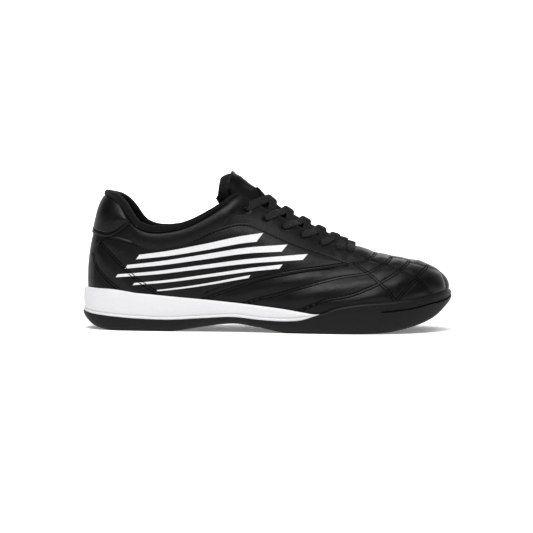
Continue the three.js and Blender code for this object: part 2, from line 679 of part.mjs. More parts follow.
function makeTongue() {
  const clearFrom = TONGUE_TOP[TONGUE_TOP.length - 1].at * LENGTH;
  const tip = TONGUE_TOP[0].at * LENGTH;
  const [up, half, droop, thick] = ["up", "half", "droop", "thick"].map((key) => column(TONGUE_TOP, key));
  const centre = (x) => new THREE.Vector3(x, crownY(upperT(x)), TONGUE_TIP * up(tOf(x)));
  const places = [
    ...stationsBetween(TONGUE_ROOT, clearFrom + 12, 9),
    clearFrom + 6,
    ...stationsBetween(clearFrom, tip, 4),
  ];
  const shares = stationsBetween(-1, 1, 10);
  const loops = places.map((x) => {
    const loose = 1 - smoothstep(x, clearFrom - 8, clearFrom);
    const along = centre(x - 1).sub(centre(x + 1)).normalize();
    const out = new THREE.Vector3(along.z, 0, -along.x);
    const width = flapReach(x) + lerp(1, TONGUE_TUCK, smoothstep(x, clearFrom, clearFrom + 30));
    const deep = lerp(3.2, 5, smoothstep(TONGUE_ROOT - x, 0, TONGUE_ROOT - clearFrom));
    const pad = thick(tOf(x));
    const section = shares.map((u) => {
      const under = overThroat(x, u * width, -1.2 * CLEAR - tongueDip(x, u * width));
      const angle = (u * Math.PI) / 2;
      const body = deep * (0.6 + 0.4 * Math.cos(angle) ** 2);
      const lower = under.p.clone().addScaledVector(under.n, -body);
      const wing = BALL_WIDTH * half(tOf(x)) * Math.sin(angle);
      const drop = droop(tOf(x)) * (Math.cos(angle) - 1);
      const clear = centre(x).addScaledVector(out, drop);
      const behind = centre(x).addScaledVector(out, drop - pad);
      clear.y += wing;
      behind.y += TONGUE_PINCH * wing;
      return { face: under.p.lerp(clear, loose), back: lower.lerp(behind, loose) };
    });
    return section;
  });
  const last = loops[loops.length - 1];
  const step = centre(tip - 1).sub(centre(tip + 1)).normalize().multiplyScalar(4);
  loops.push(
    last.map(({ face, back }) => ({
      face: face.clone().lerp(back, 0.4).add(step),
      back: back.clone().lerp(face, 0.3).add(step),
    })),
  );
  const rings = loops.map((row) => [...row.map((s) => s.face), ...row.map((s) => s.back).reverse()]);
  return loft(rings, rungs(1));
}

const LACE_RISE = 1.8 * CLEAR + LACE_THICK / 2;

function strapSection(width, thick) {
  const [w, h] = [width / 2, thick / 2];
  return () => [
    [h, w - h],
    [0, w],
    [-h, w - h],
    [-h, h - w],
    [0, -w],
    [h, h - w],
  ];
}

// One strand from the eyelet at x on a side across to the far flap, where it dives under the edge.
function laceStrand(x, endX, side) {
  const gap = flapReach(endX);
  const start = eyeletReach(x);
  const stop = gap - 1.5;
  const path = stationsBetween(0, 1, 7).map((u) => {
    const along = lerp(x, endX, 1 - (1 - u) ** LACE_BOW);
    const reach = side * lerp(start, -stop, u);
    const far = Math.max(0, -side * reach);
    const dive = smoothstep(far, gap - 6, gap - 1);
    return overThroat(along, reach, LACE_RISE - (LACE_RISE + 0.9) * dive);
  });
  return sweep(path, strapSection(LACE_WIDTH, LACE_THICK), fan);
}

function makeCrossing(k) {
  const endX = EYELET_AT[k + 1] + LACE_PAST[k];
  const strands = [LATERAL, MEDIAL].map((side) => toManifold(laceStrand(EYELET_AT[k], endX, side)));
  return fromManifold(wasm.Manifold.union(strands));
}

function makeLaceBar() {
  const x = EYELET_AT[EYELET_AT.length - 1];
  const reach = eyeletReach(x);
  const path = stationsBetween(-reach, reach, 9).map((place) => overThroat(x, place, LACE_RISE));
  return sweep(path, strapSection(LACE_WIDTH, LACE_THICK), fan);
}

// Keeper on the tongue, a strap along it just above the first crossing: [x, height]
const KEEPER = [
  [127.4, 1.0],
  [129.4, 2.8],
  [132.4, 3.4],
  [135.4, 3.4],
  [137.9, 2.8],
  [140.9, 1.0],
];

function makeKeeper() {
  const path = KEEPER.map(([x, height]) => overThroat(x, 0, height));
  return sweep(path, strapSection(9, 1.2), fan);
}

// Sole: loops round the outline, heel to toe on the outer side and back on the inner side
function ring(place) {
  const out = SHELL_STATIONS.map((t) => place(t, LATERAL));
  const back = SHELL_STATIONS.slice(1, -1).reverse().map((t) => place(t, MEDIAL));
  return [...out, ...back];
}

function outlinePoint(t, side, inset, z) {
  const place = (u) => {
    const half = u < 0 || u > 1 ? -outlineHalf(Math.abs(u > 1 ? 2 - u : u)) : outlineHalf(u);
    const y = BALL_WIDTH * (outlineMiddle(clamp(u, 0, 1)) + side * half);
    return new THREE.Vector2(LENGTH * shareOf(u), y);
  };
  const along = place(t + 0.001).sub(place(t - 0.001));
  const out = new THREE.Vector2(-side * along.y, side * along.x).normalize();
  const p = place(t).addScaledVector(out, -inset);
  return new THREE.Vector3(p.x, p.y, z);
}

function recessPoint(t, side, level) {
  const v = vAtLine(t, side, () => level);
  return onUpper(t, side, Math.max(v, -1), CLEAR).setZ(level);
}

// The sole as one body: its side wall set in by inset, each groove one more ring of [depth, level]
function soleBody(inset, grooves) {
  const top = (t) => rimLevel(t);
  const bevel = (t) => {
    const joint = Math.min(splitLevel(t), top(t) - 1);
    const room = Math.min(0.3 * (top(t) - underLevel(t)), 0.5 * (joint - underLevel(t)));
    return Math.min(BEVEL, room);
  };
  const outside = [
    (t) => [bevel(t), underLevel(t)],
    (t) => [0.3 * bevel(t), underLevel(t) + 0.3 * bevel(t)],
    (t) => [0, underLevel(t) + bevel(t)],
    ...grooves,
    (t) => [0, top(t) - 1.2],
    (t) => [0.8, top(t)],
  ];
  const loops = outside.map((at) =>
    ring((t, side) => {
      const [depth, z] = at(t);
      return outlinePoint(t, side, inset + depth, z);
    }),
  );
  loops.push(ring((t, side) => recessPoint(t, side, rimLevel(t))));
  loops.push(ring((t, side) => recessPoint(t, side, lerp(rimLevel(t), footbedLevel(t), 0.5))));
  loops.push(ring((t, side) => recessPoint(t, side, footbedLevel(t))));
  return toManifold(loft(loops, rungs(0)));
}

// Everything above the joint of midsole and outsole, dropped by a given amount
function aboveSplit(drop) {
  const tip = tOf(MIDSOLE_TIP + drop);
  const profile = new THREE.Shape();
  profile.moveTo(-20, splitLevel(0) - drop);
  stationsBetween(0, tip, 36).forEach((t) => profile.lineTo(LENGTH * shareOf(t), splitLevel(t) - drop));
  profile.lineTo(MIDSOLE_TIP + drop, 3 * RIM_HEIGHT);
  profile.lineTo(-20, 3 * RIM_HEIGHT);
  const block = new THREE.ExtrudeGeometry(profile, { depth: 2 * BALL_WIDTH, bevelEnabled: false });
  block.deleteAttribute("normal");
  block.deleteAttribute("uv");
  block.rotateX(Math.PI / 2);
  block.translate(0, BALL_WIDTH, 0);
  return toManifold(block);
}

function makeMidsole() {
  const highest = (t) => rimLevel(t) - 1.6 - BEAD_HEIGHT;
  const level = (t, height) => Math.min(splitLevel(t), highest(t)) + height;
  const depth = (t) => 0.5 * smoothstep(rimLevel(t) - splitLevel(t), BEAD_HEIGHT, 2 * BEAD_HEIGHT);
  const bead = [
    (t) => [0, level(t, BEAD_HEIGHT - 0.7)],
    (t) => [depth(t), level(t, BEAD_HEIGHT)],
    (t) => [0, level(t, BEAD_HEIGHT + 0.7)],
  ];
  return fromManifold(soleBody(PROUD, bead).intersect(aboveSplit(0)));
}

function makeOutsole() {
  const middle = (t) => {
    const share = lerp(0.69, 0.45, smoothstep(LENGTH * shareOf(t), 270, LENGTH));
    return lerp(underLevel(t), rimLevel(t), share);
  };
  const depth = (t) => 0.9 * smoothstep(LENGTH * shareOf(t), TOE_GROOVE_FROM, TOE_GROOVE_FROM + 6);
  const groove = [
    (t) => [0, middle(t) - 0.7],
    (t) => [depth(t), middle(t)],
    (t) => [0, middle(t) + 0.7],
  ];
  const body = soleBody(0, groove).subtract(aboveSplit(CLEAR));
  return fromManifold(wasm.Manifold.difference([body, ...makeTread()]));
}

// Tread: shallow curved cuts across heel and forefoot
const TREAD = [
  { x: 24, bow: 7 },
  { x: 36, bow: 7 },
  { x: 48, bow: 7 },
  { x: 60, bow: 7 },
  { x: 168, bow: -9 },
  { x: 181, bow: -9 },
  { x: 207, bow: -9 },
  { x: 220, bow: -9 },
  { x: 233, bow: -9 },
];

function makeTread() {
  return TREAD.map(({ x, bow }) => {
    const t = tOf(x);
    const reach = BALL_WIDTH * outlineHalf(t) - BEVEL - 5;
    const middle = BALL_WIDTH * outlineMiddle(t);
    const depth = underLevel(t) + TREAD_DEPTH;
    const loops = stationsBetween(-1, 1, 6).map((u) => {
      const [cx, y] = [x + bow * (1 - u * u), middle + u * reach];
      const wide = TREAD_WIDTH / 2;
      return [
        new THREE.Vector3(cx - wide, y, -3),
        new THREE.Vector3(cx + wide, y, -3),
        new THREE.Vector3(cx + 0.6 * wide, y, depth),
        new THREE.Vector3(cx - 0.6 * wide, y, depth),
      ].reverse();
    });
    return toManifold(loft(loops, fan));
  });
}

function makeInsole() {
  const inset = -(WALL + CLEAR);
  const levels = [
    [0, CLEAR],
    [0, INSOLE_THICK - 0.8],
    [-0.8, INSOLE_THICK + CLEAR],
  ];
  const loops = levels.map(([draw, rise]) =>
    ring((t, side) => {
      const level = footbedLevel(t) + rise;
      const v = Math.max(-1, vAtLine(t, side, () => level));
      return onUpper(t, side, v, inset + draw).setZ(level);
    }),
  );
  return fromManifold(toManifold(loft(loops, rungs(0))));
}

// The shoe
const leather = new THREE.MeshStandardMaterial({ name: "black_leather", color: 0x242424, roughness: 0.5 });
const lining = new THREE.MeshStandardMaterial({ name: "black_mesh", color: 0x161616, roughness: 0.9 });
const cord = new THREE.MeshStandardMaterial({ name: "black_lace", color: 0x1a1a1a, roughness: 0.85 });
const foam = new THREE.MeshStandardMaterial({ name: "white_foam", color: 0xe8e8ea, roughness: 0.7 });
const rubber = new THREE.MeshStandardMaterial({ name: "black_rubber", color: 0x202021, roughness: 0.6 });

const shoe = new THREE.Group();
shoe.name = "indoor_soccer_shoe";

function add(name, geometry, material) {
  const mesh = new THREE.Mesh(geometry, material);
  mesh.name = name;
  shoe.add(mesh);
}

add("outsole", makeOutsole(), rubber);
add("midsole", makeMidsole(), foam);
add("insole", makeInsole(), lining);
add("upper", makeUpper(), leather);
add("quarter_lateral", makeQuarter(LATERAL), leather);
add("quarter_medial", makeQuarter(MEDIAL), leather);
add("heel_tab", makeHeelTab(), leather);
add("collar_binding", makeBinding(), lining);
add("tongue", makeTongue(), leather);
add("tongue_loop", makeKeeper(), leather);
for (let k = 0; k + 1 < EYELET_AT.length; k += 1) {
  add(`lace_cross_${k + 1}`, makeCrossing(k), cord);
}
add("lace_bar", makeLaceBar(), cord);

// Origin: the centre of the box, on the floor
const box = new THREE.Box3().setFromObject(shoe);
shoe.children.forEach((mesh) => {
  mesh.geometry.translate(-(box.min.x + box.max.x) / 2, -(box.min.y + box.max.y) / 2, -box.min.z);
});

export default shoe;
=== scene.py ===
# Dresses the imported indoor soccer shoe, right foot, for the eye. Sizes are millimetres in the shoe's
# own frame, as in the part's source: x from the back of the heel to the toe, y across with the outer
# side negative, z up from the floor. to_frame turns them into the frame's metres.
import math

import bmesh
import bpy
import numpy as np
from mathutils import Matrix, Vector, kdtree


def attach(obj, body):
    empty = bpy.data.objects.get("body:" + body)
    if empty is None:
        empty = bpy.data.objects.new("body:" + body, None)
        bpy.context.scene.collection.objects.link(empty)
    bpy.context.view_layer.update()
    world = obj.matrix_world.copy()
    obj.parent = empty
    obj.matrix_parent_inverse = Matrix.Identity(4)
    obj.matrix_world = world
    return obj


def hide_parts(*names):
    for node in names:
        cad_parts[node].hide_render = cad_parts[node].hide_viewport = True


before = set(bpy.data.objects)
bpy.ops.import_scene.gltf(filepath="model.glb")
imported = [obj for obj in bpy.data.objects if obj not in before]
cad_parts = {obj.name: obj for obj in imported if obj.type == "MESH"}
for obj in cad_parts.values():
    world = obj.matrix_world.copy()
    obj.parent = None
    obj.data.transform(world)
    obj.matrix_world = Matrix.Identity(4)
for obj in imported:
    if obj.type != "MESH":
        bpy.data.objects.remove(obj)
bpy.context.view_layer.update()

# Sizes repeated from the part's source
LENGTH = 290.0
BALL_WIDTH = 101.0
HEEL_HEIGHT = 104.0
COLLAR_DIP = 76.5
COLLAR_PEAK = 101.5
INSTEP_HEIGHT = 107.0
RIM_HEIGHT = 33.0
FLOOR_HEIGHT = 22.0
SPLIT_HEIGHT = 15.0
ARCH_LIFT = 6.6
TOE_LIFT = 27.0
WALL = 2.2
CLEAR = 0.3
OVERLAY = 0.9
HEEL_SET_BACK = 3.4
TOE_SET_BACK = 2.5
TUCK = 1.6
HEEL_LEAN = 15.0
HEEL_LEAN_REACH = 80.0
HEEL_ROOT_HEIGHT = 40.0
BINDING_HEIGHT = 4.6
BINDING_DEPTH = 6.5
BINDING_END = (0.428, 0.6)
THROAT_END = 218.0
THROAT_ROUND = 10.0
THROAT_TURN = (114.0, 133.0)
EYELET_RADIUS = 2.1
EYELET_INSET = 9.0
EYELET_AT = (130.0, 145.3, 159.0, 173.6, 188.3, 202.0, 210.8)
LACE_WIDTH = 5.4
LACE_THICK = 1.5
LACE_PAST = (4.0, 4.0, 3.0, 0.0, -3.0, -6.0)
LACE_BOW = 1.7
TONGUE_TIP = 123.5
TONGUE_ROOT = 215.0
TONGUE_TUCK = 8.0
TONGUE_DIP = 2.7
TONGUE_PINCH = 0.74
INSOLE_THICK = 4.0
PROUD = 0.6
MIDSOLE_TIP = 185.4
BEAD_HEIGHT = 2.3
TOE_GROOVE_FROM = 222.0
BEVEL = 3.2
TREAD_DEPTH = 1.4
LATERAL = -1.0
MEDIAL = 1.0
MIDDLE_Y = 0.0563  # middle of the box across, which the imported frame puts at 0

# Tables repeated from the part's source: the first column is a share of LENGTH from the heel. Only the
# crown in SECTIONS differs: from 0.74 to 0.995 it has the photo's height, up to 3 mm above the solids.
SOLE_OUTLINE = np.array((  # half width and middle line, shares of BALL_WIDTH
    (0.0, 0.0, 0.0),
    (0.012, 0.145, 0.0),
    (0.045, 0.252, -0.002),
    (0.1, 0.326, -0.005),
    (0.18, 0.358, -0.01),
    (0.3, 0.352, -0.024),
    (0.42, 0.354, -0.04),
    (0.52, 0.392, -0.042),
    (0.62, 0.452, -0.03),
    (0.7, 0.493, -0.01),
    (0.78, 0.495, 0.01),
    (0.86, 0.448, 0.028),
    (0.925, 0.352, 0.044),
    (0.968, 0.232, 0.056),
    (0.992, 0.115, 0.066),
    (1.0, 0.0, 0.07),
))
SECTIONS = np.array((  # half, middle, ridge, spring, crown, side, top
    (0.0, 0.0, 0.0, 0.0, 0.37, 1.3, 2.4, 2.0),
    (0.012, 0.138, 0.0, 0.0, 0.37, 1.3, 2.4, 2.0),
    (0.045, 0.238, -0.002, 0.0, 0.365, 1.31, 2.4, 2.0),
    (0.1, 0.306, -0.005, 0.0, 0.35, 1.33, 2.4, 2.0),
    (0.18, 0.331, -0.01, 0.0, 0.33, 1.33, 2.4, 2.0),
    (0.3, 0.324, -0.02, 0.01, 0.3, 1.24, 2.4, 2.1),
    (0.42, 0.33, -0.034, 0.03, 0.27, 1.07, 2.3, 2.1),
    (0.46, 0.341, -0.036, 0.038, 0.26, 0.99, 2.2, 2.0),
    (0.53, 0.374, -0.034, 0.045, 0.245, 0.882, 1.86, 1.82),
    (0.6, 0.415, -0.026, 0.048, 0.232, 0.778, 1.66, 1.6),
    (0.67, 0.448, -0.014, 0.045, 0.228, 0.678, 1.6, 1.46),
    (0.74, 0.468, 0.0, 0.036, 0.232, 0.614, 1.68, 1.5),
    (0.81, 0.452, 0.014, 0.026, 0.242, 0.562, 1.95, 1.8),
    (0.88, 0.398, 0.03, 0.016, 0.256, 0.525, 2.2, 2.1),
    (0.94, 0.298, 0.045, 0.008, 0.275, 0.488, 2.2, 2.1),
    (0.978, 0.18, 0.057, 0.003, 0.29, 0.426, 2.1, 2.0),
    (0.995, 0.083, 0.064, 0.0, 0.296, 0.366, 2.0, 2.0),
    (1.0, 0.0, 0.066, 0.0, 0.298, 0.298, 2.0, 2.0),
))
SOLE_LEVELS = np.array((  # rim, floor, split, heel, arch, toe
    (0.0, 0.985, 1.03, 1.0, 0.85, 0, 0),
    (0.012, 0.99, 1.02, 0.9, 0.5, 0, 0),
    (0.035, 0.99, 1.0, 0.82, 0.2, 0, 0),
    (0.085, 0.975, 1.0, 0.73, 0, 0, 0),
    (0.17, 0.885, 0.99, 0.63, 0, 0, 0),
    (0.25, 0.82, 0.96, 0.6, 0, 0, 0),
    (0.34, 0.755, 0.9, 0.7, 0, 0.6, 0),
    (0.42, 0.69, 0.8, 0.775, 0, 1, 0),
    (0.49, 0.625, 0.67, 0.655, 0, 0.55, 0),
    (0.56, 0.55, 0.55, 0.61, 0, 0, 0),
    (0.6, 0.495, 0.5, 0.68, 0, 0, 0),
    (0.645, 0.45, 0.46, 0.98, 0, 0, 0),
    (0.69, 0.585, 0.44, 1.3, 0, 0, 0),
    (0.75, 0.69, 0.44, 1.5, 0, 0, 0),
    (0.83, 0.745, 0.48, 1.6, 0, 0, 0.045),
    (0.9, 0.795, 0.59, 1.7, 0, 0, 0.2),
    (0.95, 0.85, 0.74, 1.8, 0, 0, 0.4),
    (0.985, 0.905, 0.9, 1.9, 0, 0, 0.7),
    (1.0, 0.93, 0.98, 1.95, 0, 0, 0.93),
))
COLLAR_LINE = np.array((  # rise from COLLAR_DIP to the heel's or the peak's height
    (0.0, 1.02),
    (0.066, 0.985),
    (0.09, 0.9),
    (0.107, 0.76),
    (0.122, 0.565),
    (0.135, 0.36),
    (0.15, 0.19),
    (0.172, 0.066),
    (0.207, 0.0),
    (0.238, 0.025),
    (0.266, 0.085),
    (0.307, 0.25),
    (0.331, 0.395),
    (0.362, 0.61),
    (0.386, 0.79),
    (0.41, 0.945),
    (0.428, 1.0),
    (0.448, 0.93),
    (0.47, 0.8),
))
DIP_AT = 0.207
THROAT_GAP = np.array((  # half width between the eyestays, share of BALL_WIDTH
    (0.38, 0.186),
    (0.45, 0.152),
    (0.5, 0.143),
    (0.6, 0.127),
    (0.7, 0.098),
    (0.76, 0.08),
))
QUARTER_PANEL = np.array((  # upper and lower edge, shares of INSTEP_HEIGHT
    (0.042, 0.6, 0.1),
    (0.06, 0.655, 0.1),
    (0.1, 0.672, 0.1),
    (0.14, 0.648, 0.1),
    (0.18, 0.62, 0.1),
    (0.215, 0.61, 0.1),
    (0.25, 0.617, 0.12),
    (0.28, 0.64, 0.16),
    (0.32, 0.68, 0.232),
    (0.36, 0.726, 0.28),
    (0.4, 0.762, 0.318),
    (0.428, 0.778, 0.34),
    (0.455, 0.774, 0.36),
    (0.49, 0.74, 0.383),
    (0.54, 0.677, 0.41),
    (0.6, 0.61, 0.438),
    (0.665, 0.552, 0.463),
    (0.7, 0.52, 0.478),
    (0.722, 0.5, 0.488),
))
HEEL_TAB = np.array((  # lower edge, share of INSTEP_HEIGHT
    (0.0, 0.705),
    (0.03, 0.702),
    (0.055, 0.683),
    (0.085, 0.678),
    (0.104, 0.7),
    (0.125, 0.744),
    (0.14, 0.768),
))
TONGUE_TOP = np.array((  # up, half, droop, thick
    (0.403, 1.0, 0.168, 12, 10),
    (0.419, 0.978, 0.146, 12.5, 13),
    (0.438, 0.943, 0.122, 13, 14),
    (0.459, 0.9, 0.125, 14, 9),
))
TONGUE_LIFT = np.array((  # lift of the padded middle, millimetres
    (0.42, 6.2),
    (0.438, 5.9),
    (0.459, 5.2),
    (0.475, 3.4),
    (0.5, 1.0),
    (0.52, 0.0),
    (0.75, 0.0),
))


def station(share):
    return np.arccos(1 - 2 * np.clip(share, 0, 1)) / np.pi


def share_of(t):
    return (1 - np.cos(np.pi * np.asarray(t, float))) / 2


def t_of(x):
    return station(np.asarray(x, float) / LENGTH)


def column(table, index, heel_sign=1, toe_sign=1):
    """A smooth curve through one column of a table, its rows mirrored past both ends."""
    at = station(table[:, 0])
    value = table[:, index]
    at = np.concatenate(([2 * at[0] - at[1]], at, [2 * at[-1] - at[-2]]))
    value = np.concatenate(([heel_sign * value[1]], value, [toe_sign * value[-2]]))
    width = np.diff(at)
    climb = np.diff(value) / width
    slope = (climb[:-1] * width[1:] + climb[1:] * width[:-1]) / (width[:-1] + width[1:])

    def curve(t):
        here = np.clip(t, at[1], at[-2])
        i = np.clip(np.searchsorted(at, here) - 1, 1, len(at) - 3)
        u = (here - at[i]) / width[i]
        rise = value[i + 1] - value[i]
        a = slope[i - 1] * width[i] - rise
        b = rise - slope[i] * width[i]
        return value[i] + rise * u + u * (1 - u) * (a * (1 - u) + b * u)

    return curve


outline_half = column(SOLE_OUTLINE, 1, -1, -1)
outline_middle = column(SOLE_OUTLINE, 2)
upper_half = column(SECTIONS, 1, -1, -1)
upper_middle = column(SECTIONS, 2)
upper_ridge = column(SECTIONS, 3)
upper_spring = column(SECTIONS, 4)
upper_rise = column(np.column_stack((SECTIONS[:, 0], SECTIONS[:, 5] - SECTIONS[:, 4])), 1, 1, -1)
upper_side = column(SECTIONS, 6)
upper_top = column(SECTIONS, 7)
rim_share, floor_share, split_share, heel_share, arch_share, toe_share = (
    column(SOLE_LEVELS, i) for i in range(1, 7)
)
collar_rise = column(COLLAR_LINE, 1)
throat_share = column(THROAT_GAP, 1)
tongue_lift = column(TONGUE_LIFT, 1)
quarter_high = column(QUARTER_PANEL, 1)
quarter_low = column(QUARTER_PANEL, 2)
tab_low = column(HEEL_TAB, 1)


def smooth(x, low, high):
    u = np.clip((np.asarray(x, float) - low) / (high - low), 0, 1)
    return u * u * (3 - 2 * u)


def mix(a, b, share):
    return a + (b - a) * share


def rim_level(t):
    return RIM_HEIGHT * rim_share(t)


def footbed_level(t):
    return FLOOR_HEIGHT * floor_share(t)


def split_level(t):
    return SPLIT_HEIGHT * split_share(t)


def under_level(t):
    heel = SPLIT_HEIGHT * np.maximum(0, heel_share(t))
    arch = ARCH_LIFT * np.maximum(0, arch_share(t))
    return heel + arch + TOE_LIFT * np.maximum(0, toe_share(t))


UPPER_SPAN = LENGTH - HEEL_SET_BACK - TOE_SET_BACK


def crown_y(t):
    return BALL_WIDTH * (upper_middle(t) + upper_ridge(t))


def upper_x(t):
    return HEEL_SET_BACK + UPPER_SPAN * share_of(t)


def upper_t(x):
    return station((np.asarray(x, float) - HEEL_SET_BACK) / UPPER_SPAN)


def unit(vectors):
    size = np.linalg.norm(vectors, axis=-1, keepdims=True)
    return vectors / np.maximum(size, 1e-12)


def upper_point(t, side, v):
    """The last's surface: v is -1 at the lasted edge, 0 at the widest level, 1 on the crown."""
    t, side, v = np.broadcast_arrays(*(np.asarray(a, float) for a in (t, side, v)))
    half = BALL_WIDTH * upper_half(t)
    spring = INSTEP_HEIGHT * upper_spring(t)
    step = 1e-3
    after, before = np.minimum(1, t + step), np.maximum(0, t - step)
    run = upper_x(after) - upper_x(before)
    spread = BALL_WIDTH * (upper_half(after) - upper_half(before))
    size = np.hypot(run, spread)
    tuck = TUCK * v * v
    low = v <= 0
    angle = np.clip(v, 0, 1) * np.pi / 2
    c, s = np.maximum(0, np.cos(angle)), np.sin(angle)
    x = upper_x(t) + np.where(low, spread / size * tuck, 0)
    wall = np.maximum(0, half - run / size * tuck)
    arch = half * c ** (2 / upper_side(t))
    y = BALL_WIDTH * upper_middle(t) + side * np.where(low, wall, arch)
    y = y + np.where(low, 0, BALL_WIDTH * upper_ridge(t) * s * s)
    z = spring + np.where(
        low,
        v * (spring - footbed_level(t) - CLEAR),
        INSTEP_HEIGHT * upper_rise(t) * s ** (2 / upper_top(t)),
    )
    lean = np.maximum(0, z - HEEL_ROOT_HEIGHT) / (HEEL_HEIGHT - HEEL_ROOT_HEIGHT)
    fade = np.maximum(0, 1 - x / HEEL_LEAN_REACH)
    x = x + HEEL_LEAN * lean * lean * fade * fade
    return np.stack((x, y, z), axis=-1)


def side_normal(t, side, v):
    at, up = np.clip(t, 0.003, 0.997), np.clip(v, -0.97, 0.985)
    dt = upper_point(at + 0.002, side, up) - upper_point(at - 0.002, side, up)
    dv = upper_point(at, side, up + 0.01) - upper_point(at, side, up - 0.01)
    return unit(np.cross(dt, dv) * -np.asarray(side)[..., None])


def upper_normal(t, side, v):
    t, side, v = np.broadcast_arrays(*(np.asarray(a, float) for a in (t, side, v)))
    own = side_normal(t, side, v)
    both = unit(own + side_normal(t, -side, v))
    own = unit(mix(own, both, smooth(v, 0.985, 1.0)[..., None]))
    own[..., 1] *= smooth(t, 0, 0.004)
    nose = smooth(t, 0.996, 1.0)[..., None]
    return unit(mix(own, np.array((1.0, 0, 0)), nose))


def on_upper(t, side, v, offset):
    offset = np.asarray(offset, float)[..., None]
    return upper_point(t, side, v) + upper_normal(t, side, v) * offset


def solve(low, high, test, shape):
    """Smallest number between low and high where a rising test turns positive."""
    a, b = np.full(shape, float(low)), np.full(shape, float(high))
    for _ in range(34):
        middle = (a + b) / 2
        over = test(middle) > 0
        b = np.where(over, middle, b)
        a = np.where(over, a, middle)
    return (a + b) / 2


def v_at_line(t, side, line):
    t, side = np.broadcast_arrays(np.asarray(t, float), np.asarray(side, float))

    def over(v):
        p = upper_point(t, side, v)
        return p[..., 2] - line(p[..., 0])

    return solve(-1, 1, over, t.shape)


def v_at_reach(t, side, reach):
    t, side, reach = np.broadcast_arrays(*(np.asarray(a, float) for a in (t, side, reach)))

    def over(v):
        return reach - np.abs(upper_point(t, side, v)[..., 1] - crown_y(t))

    return np.where(reach <= 0, 1.0, solve(0, 1, over, t.shape))


def collar_height(x):
    high = np.where(np.asarray(x) < DIP_AT * LENGTH, HEEL_HEIGHT, COLLAR_PEAK)
    return mix(COLLAR_DIP, high, collar_rise(t_of(x)))


def throat_gap(x):
    into = np.clip(x - THROAT_END + THROAT_ROUND, 0, THROAT_ROUND) / THROAT_ROUND
    return BALL_WIDTH * throat_share(t_of(x)) * np.sqrt(1 - into * into)


def edge_v(t, side):
    """v on the free edge of the upper: collar, then throat, then the crown past its end."""
    x = upper_x(t)
    turn = smooth(x, *THROAT_TURN)
    collar = v_at_line(t, side, collar_height)
    throat = v_at_reach(t, side, throat_gap(x))
    return np.where(x >= THROAT_END - 1e-6, 1.0, mix(collar, throat, turn))


def flap_reach(x):
    return BALL_WIDTH * throat_share(t_of(x))


def eyelet_reach(x):
    return flap_reach(x) + 0.8 * EYELET_INSET


# Seams: side views in (x, z), from each seam's upper end down. Those that end above the crown's
# height run over it and down the other side.
LAP_SEAM = (
    (213.7, 53.7), (202, 50.6), (181, 48.5), (158.9, 44.5), (141.2, 40.3), (123.7, 34.4),
    (105.9, 27.9), (96, 24),
)
LONG_SEAMS = (
    ((244, 62), (242.2, 57.3), (238.8, 54), (230.7, 49.7), (222.3, 45.9), (201.7, 42.5), (178.6, 36.3),
     (154.1, 29.1), (141.3, 25.9), (126, 20.5)),
    ((257.4, 60), (255.9, 54.6), (253.8, 52), (245.7, 45.9), (234, 38.9), (224.3, 34.2), (209.8, 28.9),
     (190.5, 24.8), (172, 17)),
    ((272.5, 56), (271, 51.2), (265.5, 46.4), (260.4, 40.1), (253.5, 33.6), (242, 21)),
    ((232.5, 66), (229.8, 59.6), (224.8, 56.3), (220.6, 54.2), (213.7, 53.7)),
)
SLANT_SEAMS = (
    ((213.7, 53.7), (225.2, 45.9), (234, 38.5), (240.8, 31.8), (247, 23)),
    ((219.8, 58.3), (228, 55.6), (234.3, 53.4), (239.2, 51.8), (247.3, 48.9), (258.4, 44), (266.8, 37.7),
     (273.2, 30.1), (275, 25)),
    ((243, 57.4), (253.9, 55.6), (258.4, 53.6), (269.9, 50.6), (280.2, 46.3), (284.8, 38.6), (286, 30)),
)
HEEL_SEAMS = (
    ((12, 70), (19.6, 63.8), (26.1, 58.1), (32.4, 52.2), (40.9, 44.6), (47.7, 38.9), (63.7, 28.7), (71, 23)),
    ((9.4, 58.5), (13.1, 50.5), (16.8, 45.3), (24, 38.4), (30.9, 33), (38, 27)),
)

# Building meshes


def to_frame(points):
    moved = np.array(points, float)
    moved[..., 0] -= LENGTH / 2
    moved[..., 1] -= MIDDLE_Y
    return moved / 1000


FAR_FROM_SEAMS = 30.0


